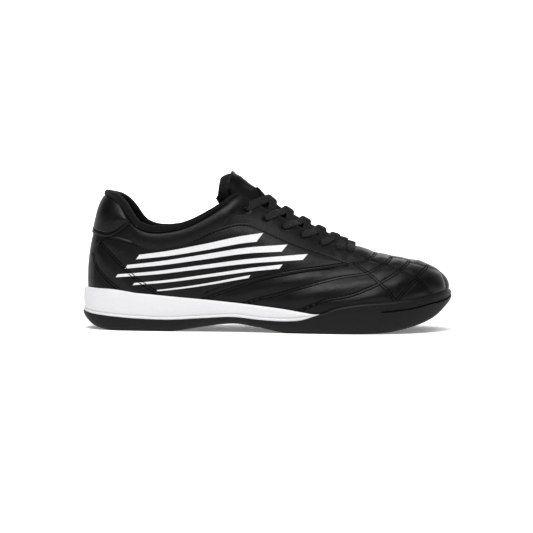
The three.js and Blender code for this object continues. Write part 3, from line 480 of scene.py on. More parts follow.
class Skin:
    """Points and faces of one piece, gathered sheet by sheet and welded at the end."""

    def __init__(self):
        self.points, self.faces, self.cloth, self.finish, self.seam = [], [], [], [], []
        self.count = 0

    def add(self, points, faces, cloth=None, finish=0, seam=None):
        points = np.asarray(points, float).reshape(-1, 3)
        if cloth is None:
            cloth = points[:, :2]
        if seam is None:
            seam = np.full(len(points), FAR_FROM_SEAMS)
        self.points.append(points)
        self.cloth.append(np.asarray(cloth, float).reshape(-1, 2))
        self.seam.append(np.minimum(np.asarray(seam, float).ravel(), FAR_FROM_SEAMS))
        faces = np.asarray(faces, int) + self.count
        self.faces += faces.tolist()
        self.finish += [finish] * len(faces)
        self.count += len(points)

    def sheet(self, rows, cloth=None, finish=0, close=False, seam=None):
        """A grid of points (n, m, 3); close joins each row's end to its start."""
        n, m = rows.shape[:2]
        i = np.arange(n * m).reshape(n, m)
        if close:
            i = np.column_stack((i, i[:, 0]))
        a, b, c, d = i[:-1, :-1], i[1:, :-1], i[1:, 1:], i[:-1, 1:]
        self.add(rows, np.stack((a, b, c, d), -1).reshape(-1, 4), cloth, finish, seam)

    def cap(self, ring, finish=0):
        """Closes a small ring with a fan round its middle."""
        n = len(ring)
        points = np.vstack((ring, ring.mean(0)))
        self.add(points, [(i, (i + 1) % n, n) for i in range(n)], finish=finish)

    def piece(self, name, materials, weld=0.004, angle=50.0):
        mesh = bpy.data.meshes.new(name)
        points = to_frame(np.vstack(self.points))
        mesh.from_pydata(points.tolist(), [], self.faces)
        mesh.polygons.foreach_set("material_index", self.finish)
        for material in materials:
            mesh.materials.append(material)
        layer = mesh.uv_layers.new(name="cloth")
        corner = np.empty(len(mesh.loops), int)
        mesh.loops.foreach_get("vertex_index", corner)
        flat = np.vstack(self.cloth)[corner] / 1000
        layer.data.foreach_set("uv", flat.astype(np.float32).ravel())
        seam = mesh.attributes.new(name="seam", type="FLOAT", domain="POINT")
        seam.data.foreach_set("value", np.concatenate(self.seam).astype(np.float32))
        body = bmesh.new()
        body.from_mesh(mesh)
        bmesh.ops.remove_doubles(body, verts=body.verts, dist=weld / 1000)
        bmesh.ops.dissolve_degenerate(body, edges=body.edges, dist=1e-7)
        bmesh.ops.recalc_face_normals(body, faces=body.faces)
        body.to_mesh(mesh)
        body.free()
        mesh.polygons.foreach_set("use_smooth", [True] * len(mesh.polygons))
        mesh.set_sharp_from_angle(angle=math.radians(angle))
        made = bpy.data.objects.new(name, mesh)
        bpy.context.scene.collection.objects.link(made)
        return made


def dress(piece, slot, *nodes):
    """Makes a piece ride with the shoe, in place of its CAD nodes. The slot is not used."""
    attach(piece, "root")
    if nodes:
        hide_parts(*nodes)
    return piece


def steps(*marks):
    """Numbers through marks given as (start, count) pairs, ending with a single number."""
    parts = []
    for (start, count), (stop, _) in zip(marks[:-1], marks[1:]):
        parts.append(np.linspace(start, stop, count, endpoint=False))
    return np.concatenate(parts + [[marks[-1][0]]])


def along(path):
    """Distance run along a line of points."""
    return np.concatenate(([0], np.cumsum(np.linalg.norm(np.diff(path, axis=0), axis=1))))


def resample(path, spacing):
    run = along(path)
    count = max(2, int(round(run[-1] / spacing)) + 1)
    at = np.linspace(0, run[-1], count)
    return np.stack([np.interp(at, run, path[:, k]) for k in range(path.shape[1])], -1)


def curve(points, spacing):
    """A smooth line through a few points."""
    p = np.asarray(points, float)
    p = np.vstack((2 * p[0] - p[1], p, 2 * p[-1] - p[-2]))
    u = np.linspace(0, 1, 24, endpoint=False)[:, None]
    parts = []
    for a, b, c, d in zip(p[:-3], p[1:-2], p[2:-1], p[3:]):
        bend = (2 * a - 5 * b + 4 * c - d) * u + (3 * b - a - 3 * c + d) * u * u
        parts.append(b + 0.5 * u * ((c - a) + bend))
    return resample(np.vstack(parts + [p[-2:-1]]), spacing)


def sweep(skin, centre, normal, section, finish=0):
    """Sweeps a section (n, m, 2) of [out, across] along a path and caps both ends."""
    ahead = np.gradient(centre, axis=0)
    ahead = unit(ahead)
    across = unit(np.cross(ahead, normal))
    out = np.cross(across, ahead)
    rings = centre[:, None] + section[..., :1] * out[:, None] + section[..., 1:] * across[:, None]
    run = along(centre)
    cloth = np.stack(np.broadcast_arrays(section[..., 1], run[:, None]), -1)
    skin.sheet(rings, cloth, finish, close=True)
    skin.cap(rings[0], finish)
    skin.cap(rings[-1], finish)


def round_section(thick, width, corners=20):
    """A flat strap's section with full edges, as [out, across]."""
    a = np.linspace(0, 2 * np.pi, corners, endpoint=False)
    c, s = np.cos(a), np.sin(a)
    out = thick / 2 * np.sign(s) * np.abs(s) ** 0.9
    across = width / 2 * np.sign(c) * np.abs(c) ** 0.6
    return np.stack((out, across), -1)


# Seam lines on the leather, and the relief that they pull into it

SEAM_ROW = 1.05  # from the middle of a seam to each of its two rows of stitches
ROW_DEEP = 0.25
PUFF = 1.0  # swell of the leather between seams
PUFF_WIDE = 4.6


def side_line(points, side, spacing=0.5):
    """A line given from the side, laid on the upper: t, v and the point for each place."""
    flat = curve(points, spacing)
    t = upper_t(flat[:, 0])
    v = v_at_line(t, side, lambda x: flat[:, 1])
    return t, v, upper_point(t, side, v)


def seam_marks(*groups):
    """Points every half millimetre along groups of seams, on both sides of the upper."""
    lines = [line for group in groups for line in group]
    return np.vstack([side_line(line, side)[2] for line in lines for side in (LATERAL, MEDIAL)])


def nearness(points, marks):
    """Distance of each point to the nearest of a set of marks."""
    tree = kdtree.KDTree(len(marks))
    for i, mark in enumerate(marks):
        tree.insert(mark, i)
    tree.balance()
    flat = points.reshape(-1, 3)
    return np.array([tree.find(p)[2] for p in flat]).reshape(points.shape[:-1])


vamp_marks = seam_marks(LONG_SEAMS, SLANT_SEAMS, (LAP_SEAM,))
heel_marks = seam_marks(HEEL_SEAMS)


def fullness(seam):
    """How full the leather is at a distance from a seam, 0 on its rows and 1 well away from it."""
    return 1 - np.exp(-((np.maximum(0, seam - SEAM_ROW) / PUFF_WIDE) ** 2))


def row_press(seam):
    """How deep the leather is pressed in along the two rows of a seam and between them."""
    return ROW_DEEP * np.exp(-(((seam - SEAM_ROW) / 0.5) ** 2)) + 0.1 * (1 - smooth(seam, 0.6, 1.6))


def sewn_relief(seam, puff):
    """Leather beside a seam: pressed in along both rows, flat between them and full beyond."""
    return puff * fullness(seam) - row_press(seam)


# Bends that wear leaves across the ball: side views in (x, z), and how deep each is
CREASES = (
    (((196, 70), (199, 60), (198, 52), (193, 47)), 0.35),
    (((207, 68), (209, 60), (207, 54)), 0.3),
    (((232, 52), (228, 46), (221, 42)), 0.22),
)
CREASE_WIDE = 3.0


def crease_relief(points):
    depth = np.zeros(points.shape[:-1])
    for line, deep in CREASES:
        depth += deep * np.exp(-((nearness(points, seam_marks((line,))) / CREASE_WIDE) ** 2))
    return depth


def leather_relief(points, seam):
    """How far the leather stands off the last: down in seams and bends, full between them."""
    front = smooth(points[..., 0], 96, 120)
    rim = rim_level(upper_t(points[..., 0]))
    full = PUFF * smooth(points[..., 2], rim - 1, rim + 5)
    for line in LONG_SEAMS + SLANT_SEAMS + (LAP_SEAM,):
        full = full * fullness(nearness(points, seam_marks((line,))))
    return front * (full - row_press(seam) - crease_relief(points))


FLAP_ROW = 2.3  # from the throat's edge to its row of stitches
PAD_SWELL = 2.2
PAD_DEEP = 15.0


def run_up(rows):
    """Distance up the surface from the first point of each row."""
    return np.cumsum(np.linalg.norm(np.diff(rows, axis=1, prepend=rows[:, :1]), axis=2), axis=1)


def eyelet_centres(side):
    x = np.array(EYELET_AT)
    t = upper_t(x)
    v = v_at_reach(t, side, eyelet_reach(x))
    return upper_point(t, side, v), upper_normal(t, side, v)


def collar_pad(x, below):
    """Swell of the foam under the collar panel, from the roll down to the sewn quarter."""
    place = smooth(x, 34, 52) * (1 - smooth(x, 116, 140))
    swell = PAD_SWELL * place * np.sin(np.pi * np.clip((below - 0.6) / PAD_DEEP, 0, 1)) ** 0.6
    by_roll = smooth(x, 24, 34) * (1 - smooth(x, 120, 128))
    return swell - 0.9 * by_roll * (1 - smooth(below, 0.5, 1.6))


def make_upper_leather(materials):
    skin = Skin()
    t = np.concatenate((
        np.linspace(0, float(upper_t(95)), 34, endpoint=False),
        upper_t(steps((95, 165), (216.5, 6), (THROAT_END, 84), (278, 0)))[:-1],
        np.linspace(float(upper_t(278)), 1, 34),
    ))
    holes = np.vstack([eyelet_centres(side)[0] for side in (LATERAL, MEDIAL)])
    for side in (LATERAL, MEDIAL):
        edge = edge_v(t, side)
        low = np.linspace(-1, 0, 7)[:-1]
        high = np.linspace(0, 1, 104)
        v = np.column_stack((np.tile(low, (len(t), 1)), high * edge[:, None]))
        wide = np.broadcast_to(t[:, None], v.shape)
        base = upper_point(wide, side, v)
        seam = nearness(base, vamp_marks)
        offset = leather_relief(base, seam)
        up = run_up(base)
        below = up[:, -1:] - up
        offset = offset + collar_pad(base[..., 0], below)
        hole = nearness(base, holes)
        offset = offset - 2.6 * (1 - smooth(hole, EYELET_RADIUS - 0.7, EYELET_RADIUS + 0.35))
        offset = offset - 0.25 * np.exp(-(((hole - EYELET_RADIUS - 0.9) / 0.7) ** 2))
        in_throat = smooth(base[..., 0], 136, 142) * (1 - smooth(base[..., 0], 213, 216))
        from_edge = np.abs(below - FLAP_ROW)
        offset = offset - 0.25 * in_throat * np.exp(-((from_edge / 0.5) ** 2))
        offset = offset + 0.35 * in_throat * np.exp(-(((below - 0.8) / 1.0) ** 2))
        seam = np.minimum(seam, SEAM_ROW + from_edge + FAR_FROM_SEAMS * (1 - in_throat))
        normal = upper_normal(wide, side, v)
        outer = base + normal * offset[..., None]
        few = np.concatenate((np.arange(0, v.shape[1] - 1, 11), [v.shape[1] - 1]))
        inner = on_upper(wide[:, few], side, v[:, few], -1.55)
        rim = (outer[:, -1] + inner[:, -1]) / 2
        lip = unit(outer[:, -1] - outer[:, -2])
        free = (upper_x(t) < THROAT_END - 0.01)[:, None]
        rim = np.where(free, rim + 0.45 * lip, outer[:, -1])
        high_rim = np.where(free, mix(outer[:, -1], rim, 0.6) + 0.12 * normal[:, -1], outer[:, -1])
        skin.sheet(outer, seam=seam)
        skin.sheet(np.stack((outer[:, -1], high_rim, rim, inner[:, -1]), 1))
        skin.sheet(inner)
        skin.sheet(np.stack((inner[:, 0], outer[:, 0]), 1))
    return dress(skin.piece("upper_leather", materials), "upper_leather", "upper")


def make_upper_lining(materials):
    skin = Skin()
    t = np.concatenate((
        np.linspace(0, float(upper_t(THROAT_END)), 90),
        np.linspace(float(upper_t(THROAT_END)), 1, 30)[1:],
    ))
    for side in (LATERAL, MEDIAL):
        edge = edge_v(t, side)
        free = upper_x(t) < THROAT_END - 0.01
        edge = np.where(free, edge - 0.02, edge)
        v = -1 + np.linspace(0, 1, 22) * (edge[:, None] + 1)
        wide = np.broadcast_to(t[:, None], v.shape)
        outer = on_upper(wide, side, v, -1.6)
        inner = on_upper(wide, side, v, -WALL)
        skin.sheet(outer)
        skin.sheet(inner)
        skin.sheet(np.stack((outer[:, -1], inner[:, -1]), 1))
        skin.sheet(np.stack((outer[:, 0], inner[:, 0]), 1))
    return dress(skin.piece("upper_lining", materials), "lining_mesh", "upper")


def slab(skin, outer, inner, edge_finish=0, seam=None):
    """A panel from its outer and inner sheets, with a rim all round."""
    skin.sheet(outer, seam=seam)
    skin.sheet(inner)
    open_edges = (
        (outer[:, 0], inner[:, 0]),
        (outer[:, -1], inner[:, -1]),
        (outer[0], inner[0]),
        (outer[-1], inner[-1]),
    )
    for a, b in open_edges:
        skin.sheet(np.stack((a, b), 1), finish=edge_finish)


def quarter_lines():
    def high(x):
        return INSTEP_HEIGHT * quarter_high(t_of(x))

    def low(x):
        rim = rim_level(upper_t(np.maximum(x, HEEL_SET_BACK))) - 2.0
        return np.maximum(rim, INSTEP_HEIGHT * quarter_low(t_of(x)))

    return low, high


EDGE_ROW = 2.0  # from a sewn panel's edge to its row of stitches
CUT_EDGE = 0.5  # slant of the cut edge along a quarter's top


def make_quarter(side, name, node, materials):
    low, high = quarter_lines()
    skin = Skin()
    first, last = QUARTER_PANEL[0, 0] * LENGTH, QUARTER_PANEL[-1, 0] * LENGTH
    t = upper_t(np.linspace(first, last, 250))
    v_low = v_at_line(t, side, low)
    v_high = np.maximum(v_low, v_at_line(t, side, high))
    share = np.concatenate(([0, 0.012, 0.028], np.linspace(0.05, 0.95, 60), [0.972, 0.988, 1]))
    v = v_low[:, None] + share * (v_high - v_low)[:, None]
    wide = np.broadcast_to(t[:, None], v.shape)
    base = upper_point(wide, side, v)
    up = run_up(base)
    below = up[:, -1:] - up
    sewn = smooth(base[..., 0], 92, 100)
    heel = nearness(base, heel_marks)
    seam = np.minimum(heel, SEAM_ROW + np.abs(below - EDGE_ROW))
    seam = np.minimum(seam, SEAM_ROW + np.abs(up - EDGE_ROW) + FAR_FROM_SEAMS * (1 - sewn))
    rounding = 0.4 * (1 - smooth(below, 0, 0.8)) + 0.4 * sewn * (1 - smooth(up, 0, 0.8))
    stands_off = CLEAR + OVERLAY + sewn_relief(seam, 0.75) - rounding
    outer = base + upper_normal(wide, side, v) * stands_off[..., None]
    v_in = v.copy()
    v_in[:, -1] = np.maximum(v_low, v_at_line(t, side, lambda x: high(x) + CUT_EDGE))
    inner = on_upper(wide, side, v_in, CLEAR / 2)
    slab(skin, outer, inner, 1, seam)
    return dress(skin.piece(name, materials), "upper_leather", node)


def tab_line(x):
    return INSTEP_HEIGHT * tab_low(t_of(x))


TAB_ROW = 3.0  # from the heel tab's edge to its row of stitches, above its rolled lip


def make_heel_tab(materials):
    skin = Skin()
    end_x = HEEL_TAB[-1, 0] * LENGTH
    end = solve(0, 0.5, lambda t: upper_point(t, LATERAL, edge_v(t, LATERAL))[..., 0] - end_x, (1,))[0]
    t = np.linspace(0, end, 60)
    for side in (LATERAL, MEDIAL):
        v_low = v_at_line(t, side, tab_line)
        v_high = np.maximum(v_low, v_at_line(t, side, lambda x: collar_height(x) - CLEAR))
        share = np.concatenate((np.linspace(0, 0.2, 16)[:-1], np.linspace(0.2, 1, 26)))
        v = v_low[:, None] + share * (v_high - v_low)[:, None]
        wide = np.broadcast_to(t[:, None], v.shape)
        base = upper_point(wide, side, v)
        up = run_up(base)
        lip = 0.6 * np.sqrt(np.clip(1 - ((up - 1.2) / 1.25) ** 2, 0, 1))
        valley = 0.35 * np.exp(-(((up - TAB_ROW) / 0.6) ** 2))
        swell = 2.3 * np.sin(np.pi * np.clip((up - 2) / np.maximum(up[:, -1:] - 2, 6), 0, 1)) ** 0.9
        swell = swell * smooth(base[..., 0], 6, 22)
        lip = lip * smooth(base[..., 0], 4, 20)
        outer = base + upper_normal(wide, side, v) * (CLEAR + OVERLAY + lip - valley + swell)[..., None]
        inner = on_upper(wide, side, v, CLEAR / 2)
        skin.sheet(outer, seam=SEAM_ROW + np.abs(up - TAB_ROW))
        skin.sheet(inner)
        skin.sheet(np.stack((outer[:, 0], inner[:, 0]), 1))
        skin.sheet(np.stack((outer[:, -1], inner[:, -1]), 1))
        skin.sheet(np.stack((outer[-1], inner[-1]), 1))
    return dress(skin.piece("heel_tab_leather", materials), "upper_leather", "heel_tab")


def collar_path(count):
    end = float(upper_t(BINDING_END[0] * LENGTH))
    t = np.linspace(0, end, count)
    rows = []
    for side, order in ((LATERAL, slice(None, None, -1)), (MEDIAL, slice(1, None))):
        v = edge_v(t, side)
        p, n = upper_point(t, side, v), upper_normal(t, side, v)
        size = mix(BINDING_END[1], 1, smooth((1 - t / end) * 15 / 7, 0, 1))
        rows.append((p[order], n[order], size[order]))
    return [np.concatenate(parts) for parts in zip(*rows)]


def make_collar_roll(materials):
    """Padded cloth roll along the collar, with the seam that closes it along its top."""
    p, n, size = collar_path(190)
    low, high = CLEAR - 0.4, CLEAR + BINDING_HEIGHT * size + 0.7
    deep, face = OVERLAY - BINDING_DEPTH * size, (OVERLAY + 0.9) * size
    a = np.linspace(0, 2 * np.pi, 44, endpoint=False)
    c, s = np.cos(a), np.sin(a)
    out = (face + deep)[:, None] / 2 + (face - deep)[:, None] / 2 * np.sign(c) * np.abs(c) ** 0.72
    up = (high + low)[:, None] / 2 + (high - low)[:, None] / 2 * np.sign(s) * np.abs(s) ** 0.8
    closing = 1 - 0.2 * np.exp(-(((a - math.radians(68)) / 0.16) ** 2))
    middle = np.stack(((face + deep) / 2, (high + low) / 2), -1)[:, None]
    section = middle + (np.stack((out, up), -1) - middle) * closing[None, :, None]
    skin = Skin()
    sweep(skin, p, n, section)
    roll = dress(skin.piece("collar_roll", materials), "lining_mesh", "collar_binding")
    return roll


# Tongue, keeper and laces


def lifted(x, reach):
    x, reach = np.broadcast_arrays(np.asarray(x, float), np.asarray(reach, float))
    t = upper_t(x)
    side = np.where(reach < 0, LATERAL, MEDIAL)
    flap = flap_reach(x)
    bell = 1 - smooth(np.abs(reach), 0.25 * flap, flap)
    return on_upper(t, side, v_at_reach(t, side, np.abs(reach)), tongue_lift(t_of(x)) * bell)


def over_throat(x, reach, height):
    """A place over the throat: how far along, how far from the middle, how high; and its normal."""
    ahead = lifted(x + 1, reach) - lifted(x - 1, reach)
    aside = lifted(x, reach + 1) - lifted(x, reach - 1)
    n = unit(np.cross(ahead, aside))
    return lifted(x, reach) + n * np.asarray(height, float)[..., None], n


def tongue_dip(x, reach):
    gap = throat_gap(x)
    return TONGUE_DIP * smooth(np.abs(reach), gap - 9, gap - 3)


TONGUE_CLEAR = TONGUE_TOP[-1, 0] * LENGTH
TONGUE_END = TONGUE_TOP[0, 0] * LENGTH
tongue_up, tongue_half, tongue_droop, tongue_thick = (column(TONGUE_TOP, i) for i in range(1, 5))


def tongue_middle(x):
    return np.stack((x, crown_y(upper_t(x)), TONGUE_TIP * tongue_up(t_of(x))), -1)


def tongue_puff(x, reach):
    """Swell of the padding between the eyestays, which carries the laces."""
    along_throat = smooth(x, 122, 142) * (1 + 0.45 * smooth(x, 148, 165) - smooth(x, 190, 214))
    return TONGUE_PUFF * along_throat * (1 - smooth(np.abs(reach), 1.5, 9.5))


def tongue_sheets(x, share):
    """Face and back of the tongue at places x along it and shares -1 to 1 across it."""
    x, share = np.broadcast_arrays(x[:, None], share[None, :])
    loose = (1 - smooth(x, TONGUE_CLEAR - 8, TONGUE_CLEAR))[..., None]
    ahead = unit(tongue_middle(x - 1) - tongue_middle(x + 1))
    out = np.stack((ahead[..., 2], np.zeros(x.shape), -ahead[..., 0]), -1)
    width = flap_reach(x) + mix(1, TONGUE_TUCK, smooth(x, TONGUE_CLEAR, TONGUE_CLEAR + 30))
    deep = mix(3.2, 5, smooth(TONGUE_ROOT - x, 0, TONGUE_ROOT - TONGUE_CLEAR))
    angle = share * np.pi / 2
    full = tongue_puff(x - 5, share * width) * (1 - loose[..., 0])
    face, n = over_throat(x, share * width, full - 1.2 * CLEAR - tongue_dip(x, share * width))
    body = deep * (0.6 + 0.4 * np.cos(angle) ** 2)
    lower = face - n * body[..., None]
    wing = BALL_WIDTH * tongue_half(t_of(x)) * np.sin(angle)
    drop = tongue_droop(t_of(x)) * (np.cos(angle) - 1)
    clear = tongue_middle(x) + out * drop[..., None]
    behind = tongue_middle(x) + out * (drop - tongue_thick(t_of(x)))[..., None]
    clear[..., 1] += wing
    behind[..., 1] += TONGUE_PINCH * wing
    return mix(face, clear, loose), mix(lower, behind, loose)


def make_tongue(leather, padding):
    x = np.concatenate((
        np.linspace(TONGUE_ROOT, TONGUE_CLEAR + 12, 50)[:-1],
        np.linspace(TONGUE_CLEAR + 12, TONGUE_CLEAR, 10)[:-1],
        np.linspace(TONGUE_CLEAR, TONGUE_END, 26),
    ))
    share = np.linspace(-1, 1, 61)
    face, back = tongue_sheets(x, share)
    step = unit(tongue_middle(np.array([TONGUE_END - 1.0])) - tongue_middle(np.array([TONGUE_END + 1.0])))
    front = Skin()
    run = along(face[:, 30])
    top_hem = 0.8 * (1 - smooth(run[-1] - run, 2.2, 3.0))[:, None]
    loose = 1 - smooth(x, TONGUE_CLEAR - 8, TONGUE_CLEAR)
    side_hem = 0.8 * (1 - smooth(1 - np.abs(share), 0.08, 0.12))[None, :] * loose[:, None]
    thick = unit(face - back)
    hem = np.maximum(top_hem, side_hem)
    belly = 0.9 * np.cos(share * np.pi / 2)[None, :] * (loose * smooth(run[-1] - run, 0, 9))[:, None]
    outer = face + thick * (hem + belly)[..., None]
    inner = face - thick * 1.2
    from_end = (run[-1] - run)[:, None] + 0 * share[None, :]
    from_hem = 60 * (1 - np.abs(share))[None, :] / 2.2
    edge_run = np.minimum(from_end, from_hem)
    seam = SEAM_ROW + np.abs(edge_run - 3.2) + 20 * (1 - loose[:, None])
    slab(front, outer, inner, seam=seam)
    leather_part = dress(front.piece("tongue_leather", leather), "upper_leather", "tongue")
    pad = Skin()
    top, low = face - thick * 1.25, back
    loops = [np.concatenate((a, b[::-1])) for a, b in zip(top, low)]
    swell = 1 + 0.9 * smooth(np.abs(share), 0, 0.4)
    both = np.concatenate((swell, swell[::-1]))[:, None]
    for rise, draw in ((1.3, 0.02), (2.5, 0.08), (3.4, 0.17), (3.9, 0.28), (4.1, 0.4)):
        a, b = mix(top[-1], low[-1], draw), mix(low[-1], top[-1], 0.8 * draw)
        loops.append(np.concatenate((a, b[::-1])) + step * rise * both)
    pad.sheet(np.array(loops), close=True)
    n = len(share)
    for loop in (loops[0], loops[-1]):
        pad.sheet(np.stack((loop[:n], loop[n:][::-1]), 1))
    padded = dress(pad.piece("tongue_padding", padding), "lining_mesh", "tongue")
    return leather_part, padded


KEEPER = np.array(((127.4, 1.0), (129.4, 2.8), (132.4, 3.4), (135.4, 3.4), (137.9, 2.8), (140.9, 1.0)))


def make_keeper(materials):
    """The strap sewn to the tongue just above the first crossing, padded full underneath."""
    path = curve(KEEPER, 0.4)
    high = 0.4 * path[:, 1] + 0.2
    p, n = over_throat(path[:, 0] + 5.5, np.zeros(len(path)), high / 2 + 0.2)
    flat = round_section(1.0, 1.0)
    section = flat[None] * np.stack((high + 0.8, np.full(len(path), 9.0)), -1)[:, None]
    skin = Skin()
    sweep(skin, p, np.broadcast_to(n[len(n) // 2], n.shape), section)
    return dress(skin.piece("tongue_keeper", materials), "upper_leather", "tongue_loop")


TONGUE_PUFF = 3.0  # swell under the laces; tongue_puff takes up to 1.45 times this
LACE_RISE = 1.8 * CLEAR + LACE_THICK / 2
LACE_BODY = 1.3  # thickness of the braid itself, inside the solid that stands for it
LACE_BREADTH = LACE_WIDTH + 1.3  # the braid spreads a little where it lies flat


def carried_normals(points, normals):
    """Normals turned along a path so that a flat strap bends without twisting."""
    ahead = unit(np.gradient(points, axis=0))
    turned = normals.copy()
    middle = len(points) // 2
    for order in (range(middle + 1, len(points)), range(middle - 1, -1, -1)):
        was = middle
        for i in order:
            spin = Vector(ahead[was]).rotation_difference(Vector(ahead[i]))
            turned[i] = spin @ Vector(turned[was])
            was = i
    keep = smooth(np.abs(np.linspace(-1, 1, len(points))), 0.55, 0.8)[:, None]
    return unit(mix(normals, turned, keep))


def lace(skin, places):
    """A flat lace through places (x, reach, height) over the throat, gathered where it is in a hole."""
    path = curve(places, 0.5)
    p, n = over_throat(path[:, 0], path[:, 1], path[:, 2])
    n = carried_normals(p, n)
    gather = 1 - 0.4 * (1 - smooth(path[:, 2], -1.4, 0.5))
    flat = round_section(1.0, 1.0, 28)
    section = flat[None] * np.stack((LACE_BODY / gather ** 0.6, LACE_BREADTH * gather), -1)[:, None]
    sweep(skin, p, n, section)


def crossing(k, side):
    """One strand of a crossing: out of its eyelet, over the ridge and under the far flap."""
    x, far_x = EYELET_AT[k], EYELET_AT[k + 1]
    end_x = far_x + LACE_PAST[k]
    start, gap, far = (float(f) for f in (eyelet_reach(x), flap_reach(end_x), eyelet_reach(far_x)))
    stop = gap - 1.5
    above = 0.5 if side == MEDIAL else -0.3
    places = [(x - 0.4, start, -3.4), (x - 0.3, start - 0.4, -1.6), (x - 0.1, start - 1.1, 0.2)]
    for u in np.linspace(0.09, 0.94, 12):
        reach = mix(start, -stop, u)
        dive = float(smooth(-reach, gap - 6, gap - 1))
        ridge = float(1 - smooth(abs(reach), 3, 10))
        at = mix(x, end_x, 1 - (1 - u) ** LACE_BOW)
        height = LACE_RISE - (LACE_RISE + 0.9) * dive + above * ridge + float(tongue_puff(at, reach))
        places.append((at, reach, height))
    places.append((end_x, -stop - 1.0, -1.6))
    places.append((mix(end_x, far_x, 0.5), -gap - 2.6, -3.0))
    places.append((far_x - 0.5, -far - 0.5, -3.4))
    return [(a, side * b, c) for a, b, c in places]


def make_laces(materials):
    made = []
    for k in range(len(EYELET_AT) - 1):
        skin = Skin()
        for side in (LATERAL, MEDIAL):
            lace(skin, crossing(k, side))
        name = f"lace_crossing_{k + 1}"
        made.append(dress(skin.piece(name, materials), "lace_weave", f"lace_cross_{k + 1}"))
    skin = Skin()
    x = EYELET_AT[-1]
    reach = float(eyelet_reach(x))
    half = [(x - 0.5, reach + 0.5, -3.4), (x - 0.3, reach + 0.2, -1.6), (x - 0.1, reach - 0.5, 0.2),
            (x, reach - 2.2, LACE_RISE)]
    middle = [(x, u * reach, LACE_RISE + float(tongue_puff(x, u * reach))) for u in (0.4, 0.15, -0.15, -0.4)]
    lace(skin, half + middle + [(a, -b, c) for a, b, c in half[::-1]])
    made.append(dress(skin.piece("lace_straight_bar", materials), "lace_weave", "lace_bar"))
    return made


# Sole


def ring(t, place):
    """A loop round the outline: out along the outer side and back along the inner side."""
    outer = place(t, np.full(t.shape, LATERAL))
    inner = place(t[1:-1], np.full(t[1:-1].shape, MEDIAL))
    return np.concatenate((outer, inner[::-1]))


def outline_point(t, side, inset, z):
    def place(u):
        inside = np.where(u > 1, 2 - u, np.abs(u))
        half = outline_half(inside) * np.where((u < 0) | (u > 1), -1, 1)
        y = BALL_WIDTH * (outline_middle(np.clip(u, 0, 1)) + side * half)
        return np.stack((LENGTH * share_of(u), y), -1)

    way = place(t + 0.001) - place(t - 0.001)
    out = unit(np.stack((-side * way[..., 1], side * way[..., 0]), -1))
    p = place(t) - out * np.asarray(inset)[..., None]
    return np.concatenate((p, np.broadcast_to(z, t.shape)[..., None]), -1)


def recess_point(t, side, level):
    v = np.maximum(-1, v_at_line(t, side, lambda x: level))
    p = on_upper(t, side, v, CLEAR)
    p[..., 2] = level
    return p


def edge_bevel(t):
    joint = np.minimum(split_level(t), rim_level(t) - 1)
    height = rim_level(t) - under_level(t)
    return np.minimum(BEVEL, np.minimum(0.3 * height, 0.5 * (joint - under_level(t))))


def sole_stations(last):
    return np.linspace(0, last, 330)


def across_cap(loop, rows):
    """A floor inside a loop that runs out on one side and back on the other."""
    n = len(loop) // 2 + 1
    out, back = loop[:n], np.concatenate((loop[:1], loop[n:][::-1], loop[n - 1:n]))
    share = np.linspace(0, 1, rows)[None, :, None]
    return mix(out[:, None], back[:, None], share)


def make_midsole(materials):
    t = np.linspace(0, float(t_of(MIDSOLE_TIP + 2.4)), 260)

    def level(t, height):
        room = np.maximum(rim_level(t) - split_level(t), 0.05)
        return split_level(t) + np.minimum(height, room * height / (BEAD_HEIGHT + 3.2))

    def fade(t):
        return smooth(rim_level(t) - split_level(t), 1, 5)

    profile = [
        (0.0, 0.0), (-0.25, 0.5), (-0.32, 1.1), (-0.2, 1.6), (0.1, 1.95), (0.55, 2.15),
        (0.6, 2.4), (0.25, 2.7), (0.0, 3.2),
    ]
    loops = [ring(t, lambda a, s: outline_point(a, s, PROUD + 8.0, split_level(a) - 0.0))]
    for depth, height in profile:
        loops.append(ring(t, lambda a, s: outline_point(a, s, PROUD + depth * fade(a), level(a, height))))
    for share in (0.25, 0.5, 0.75):
        def wall(a, s, share=share):
            z = mix(level(a, 3.2), rim_level(a) - 1.5 * fade(a), share)
            return outline_point(a, s, PROUD - 0.35 * fade(a) * math.sin(share * math.pi), z)
        loops.append(ring(t, wall))
    for depth, drop in ((0.0, 1.5), (0.12, 1.0), (0.45, 0.45), (0.8, 0.15), (1.2, 0.0)):
        loops.append(ring(t, lambda a, s: outline_point(
            a, s, PROUD + depth * fade(a), rim_level(a) - drop * fade(a)
        )))
    loops.append(ring(t, lambda a, s: recess_point(a, s, rim_level(a) - 0.3 * fade(a))))
    for share in (0.5, 1.0):
        loops.append(ring(t, lambda a, s: recess_point(
            a, s, mix(rim_level(a), np.minimum(footbed_level(a), rim_level(a) - 0.2), share)
        )))
    skin = Skin()
    skin.sheet(np.array(loops), close=True)
    skin.sheet(across_cap(loops[0], 12))
    skin.sheet(across_cap(loops[-1], 12))
    return dress(skin.piece("midsole_foam", materials), "midsole_foam", "midsole")


def tread_depth(p):
    """Shallow curved cuts across heel and forefoot, as in the part's source."""
    x, y = p[..., 0], p[..., 1]
    t = t_of(np.clip(x, 1, LENGTH - 1))
    reach = BALL_WIDTH * outline_half(t) - BEVEL - 3
    u = np.clip((y - BALL_WIDTH * outline_middle(t)) / reach, -1, 1)
    depth = np.zeros(x.shape)
    for at, bow in (
        (24, 7), (36, 7), (48, 7), (60, 7), (168, -9), (181, -9), (207, -9), (220, -9), (233, -9),
    ):
        off = np.abs(x - at - bow * (1 - u * u))
        depth = np.maximum(depth, TREAD_DEPTH * (1 - smooth(off, 0.8, 1.3)))
    inside = 1 - smooth(np.abs(u), 0.86, 0.96)
    return depth * inside


GROOVE_SEEN_FROM = TOE_GROOVE_FROM + 12.5  # where the toe groove is deep enough to show


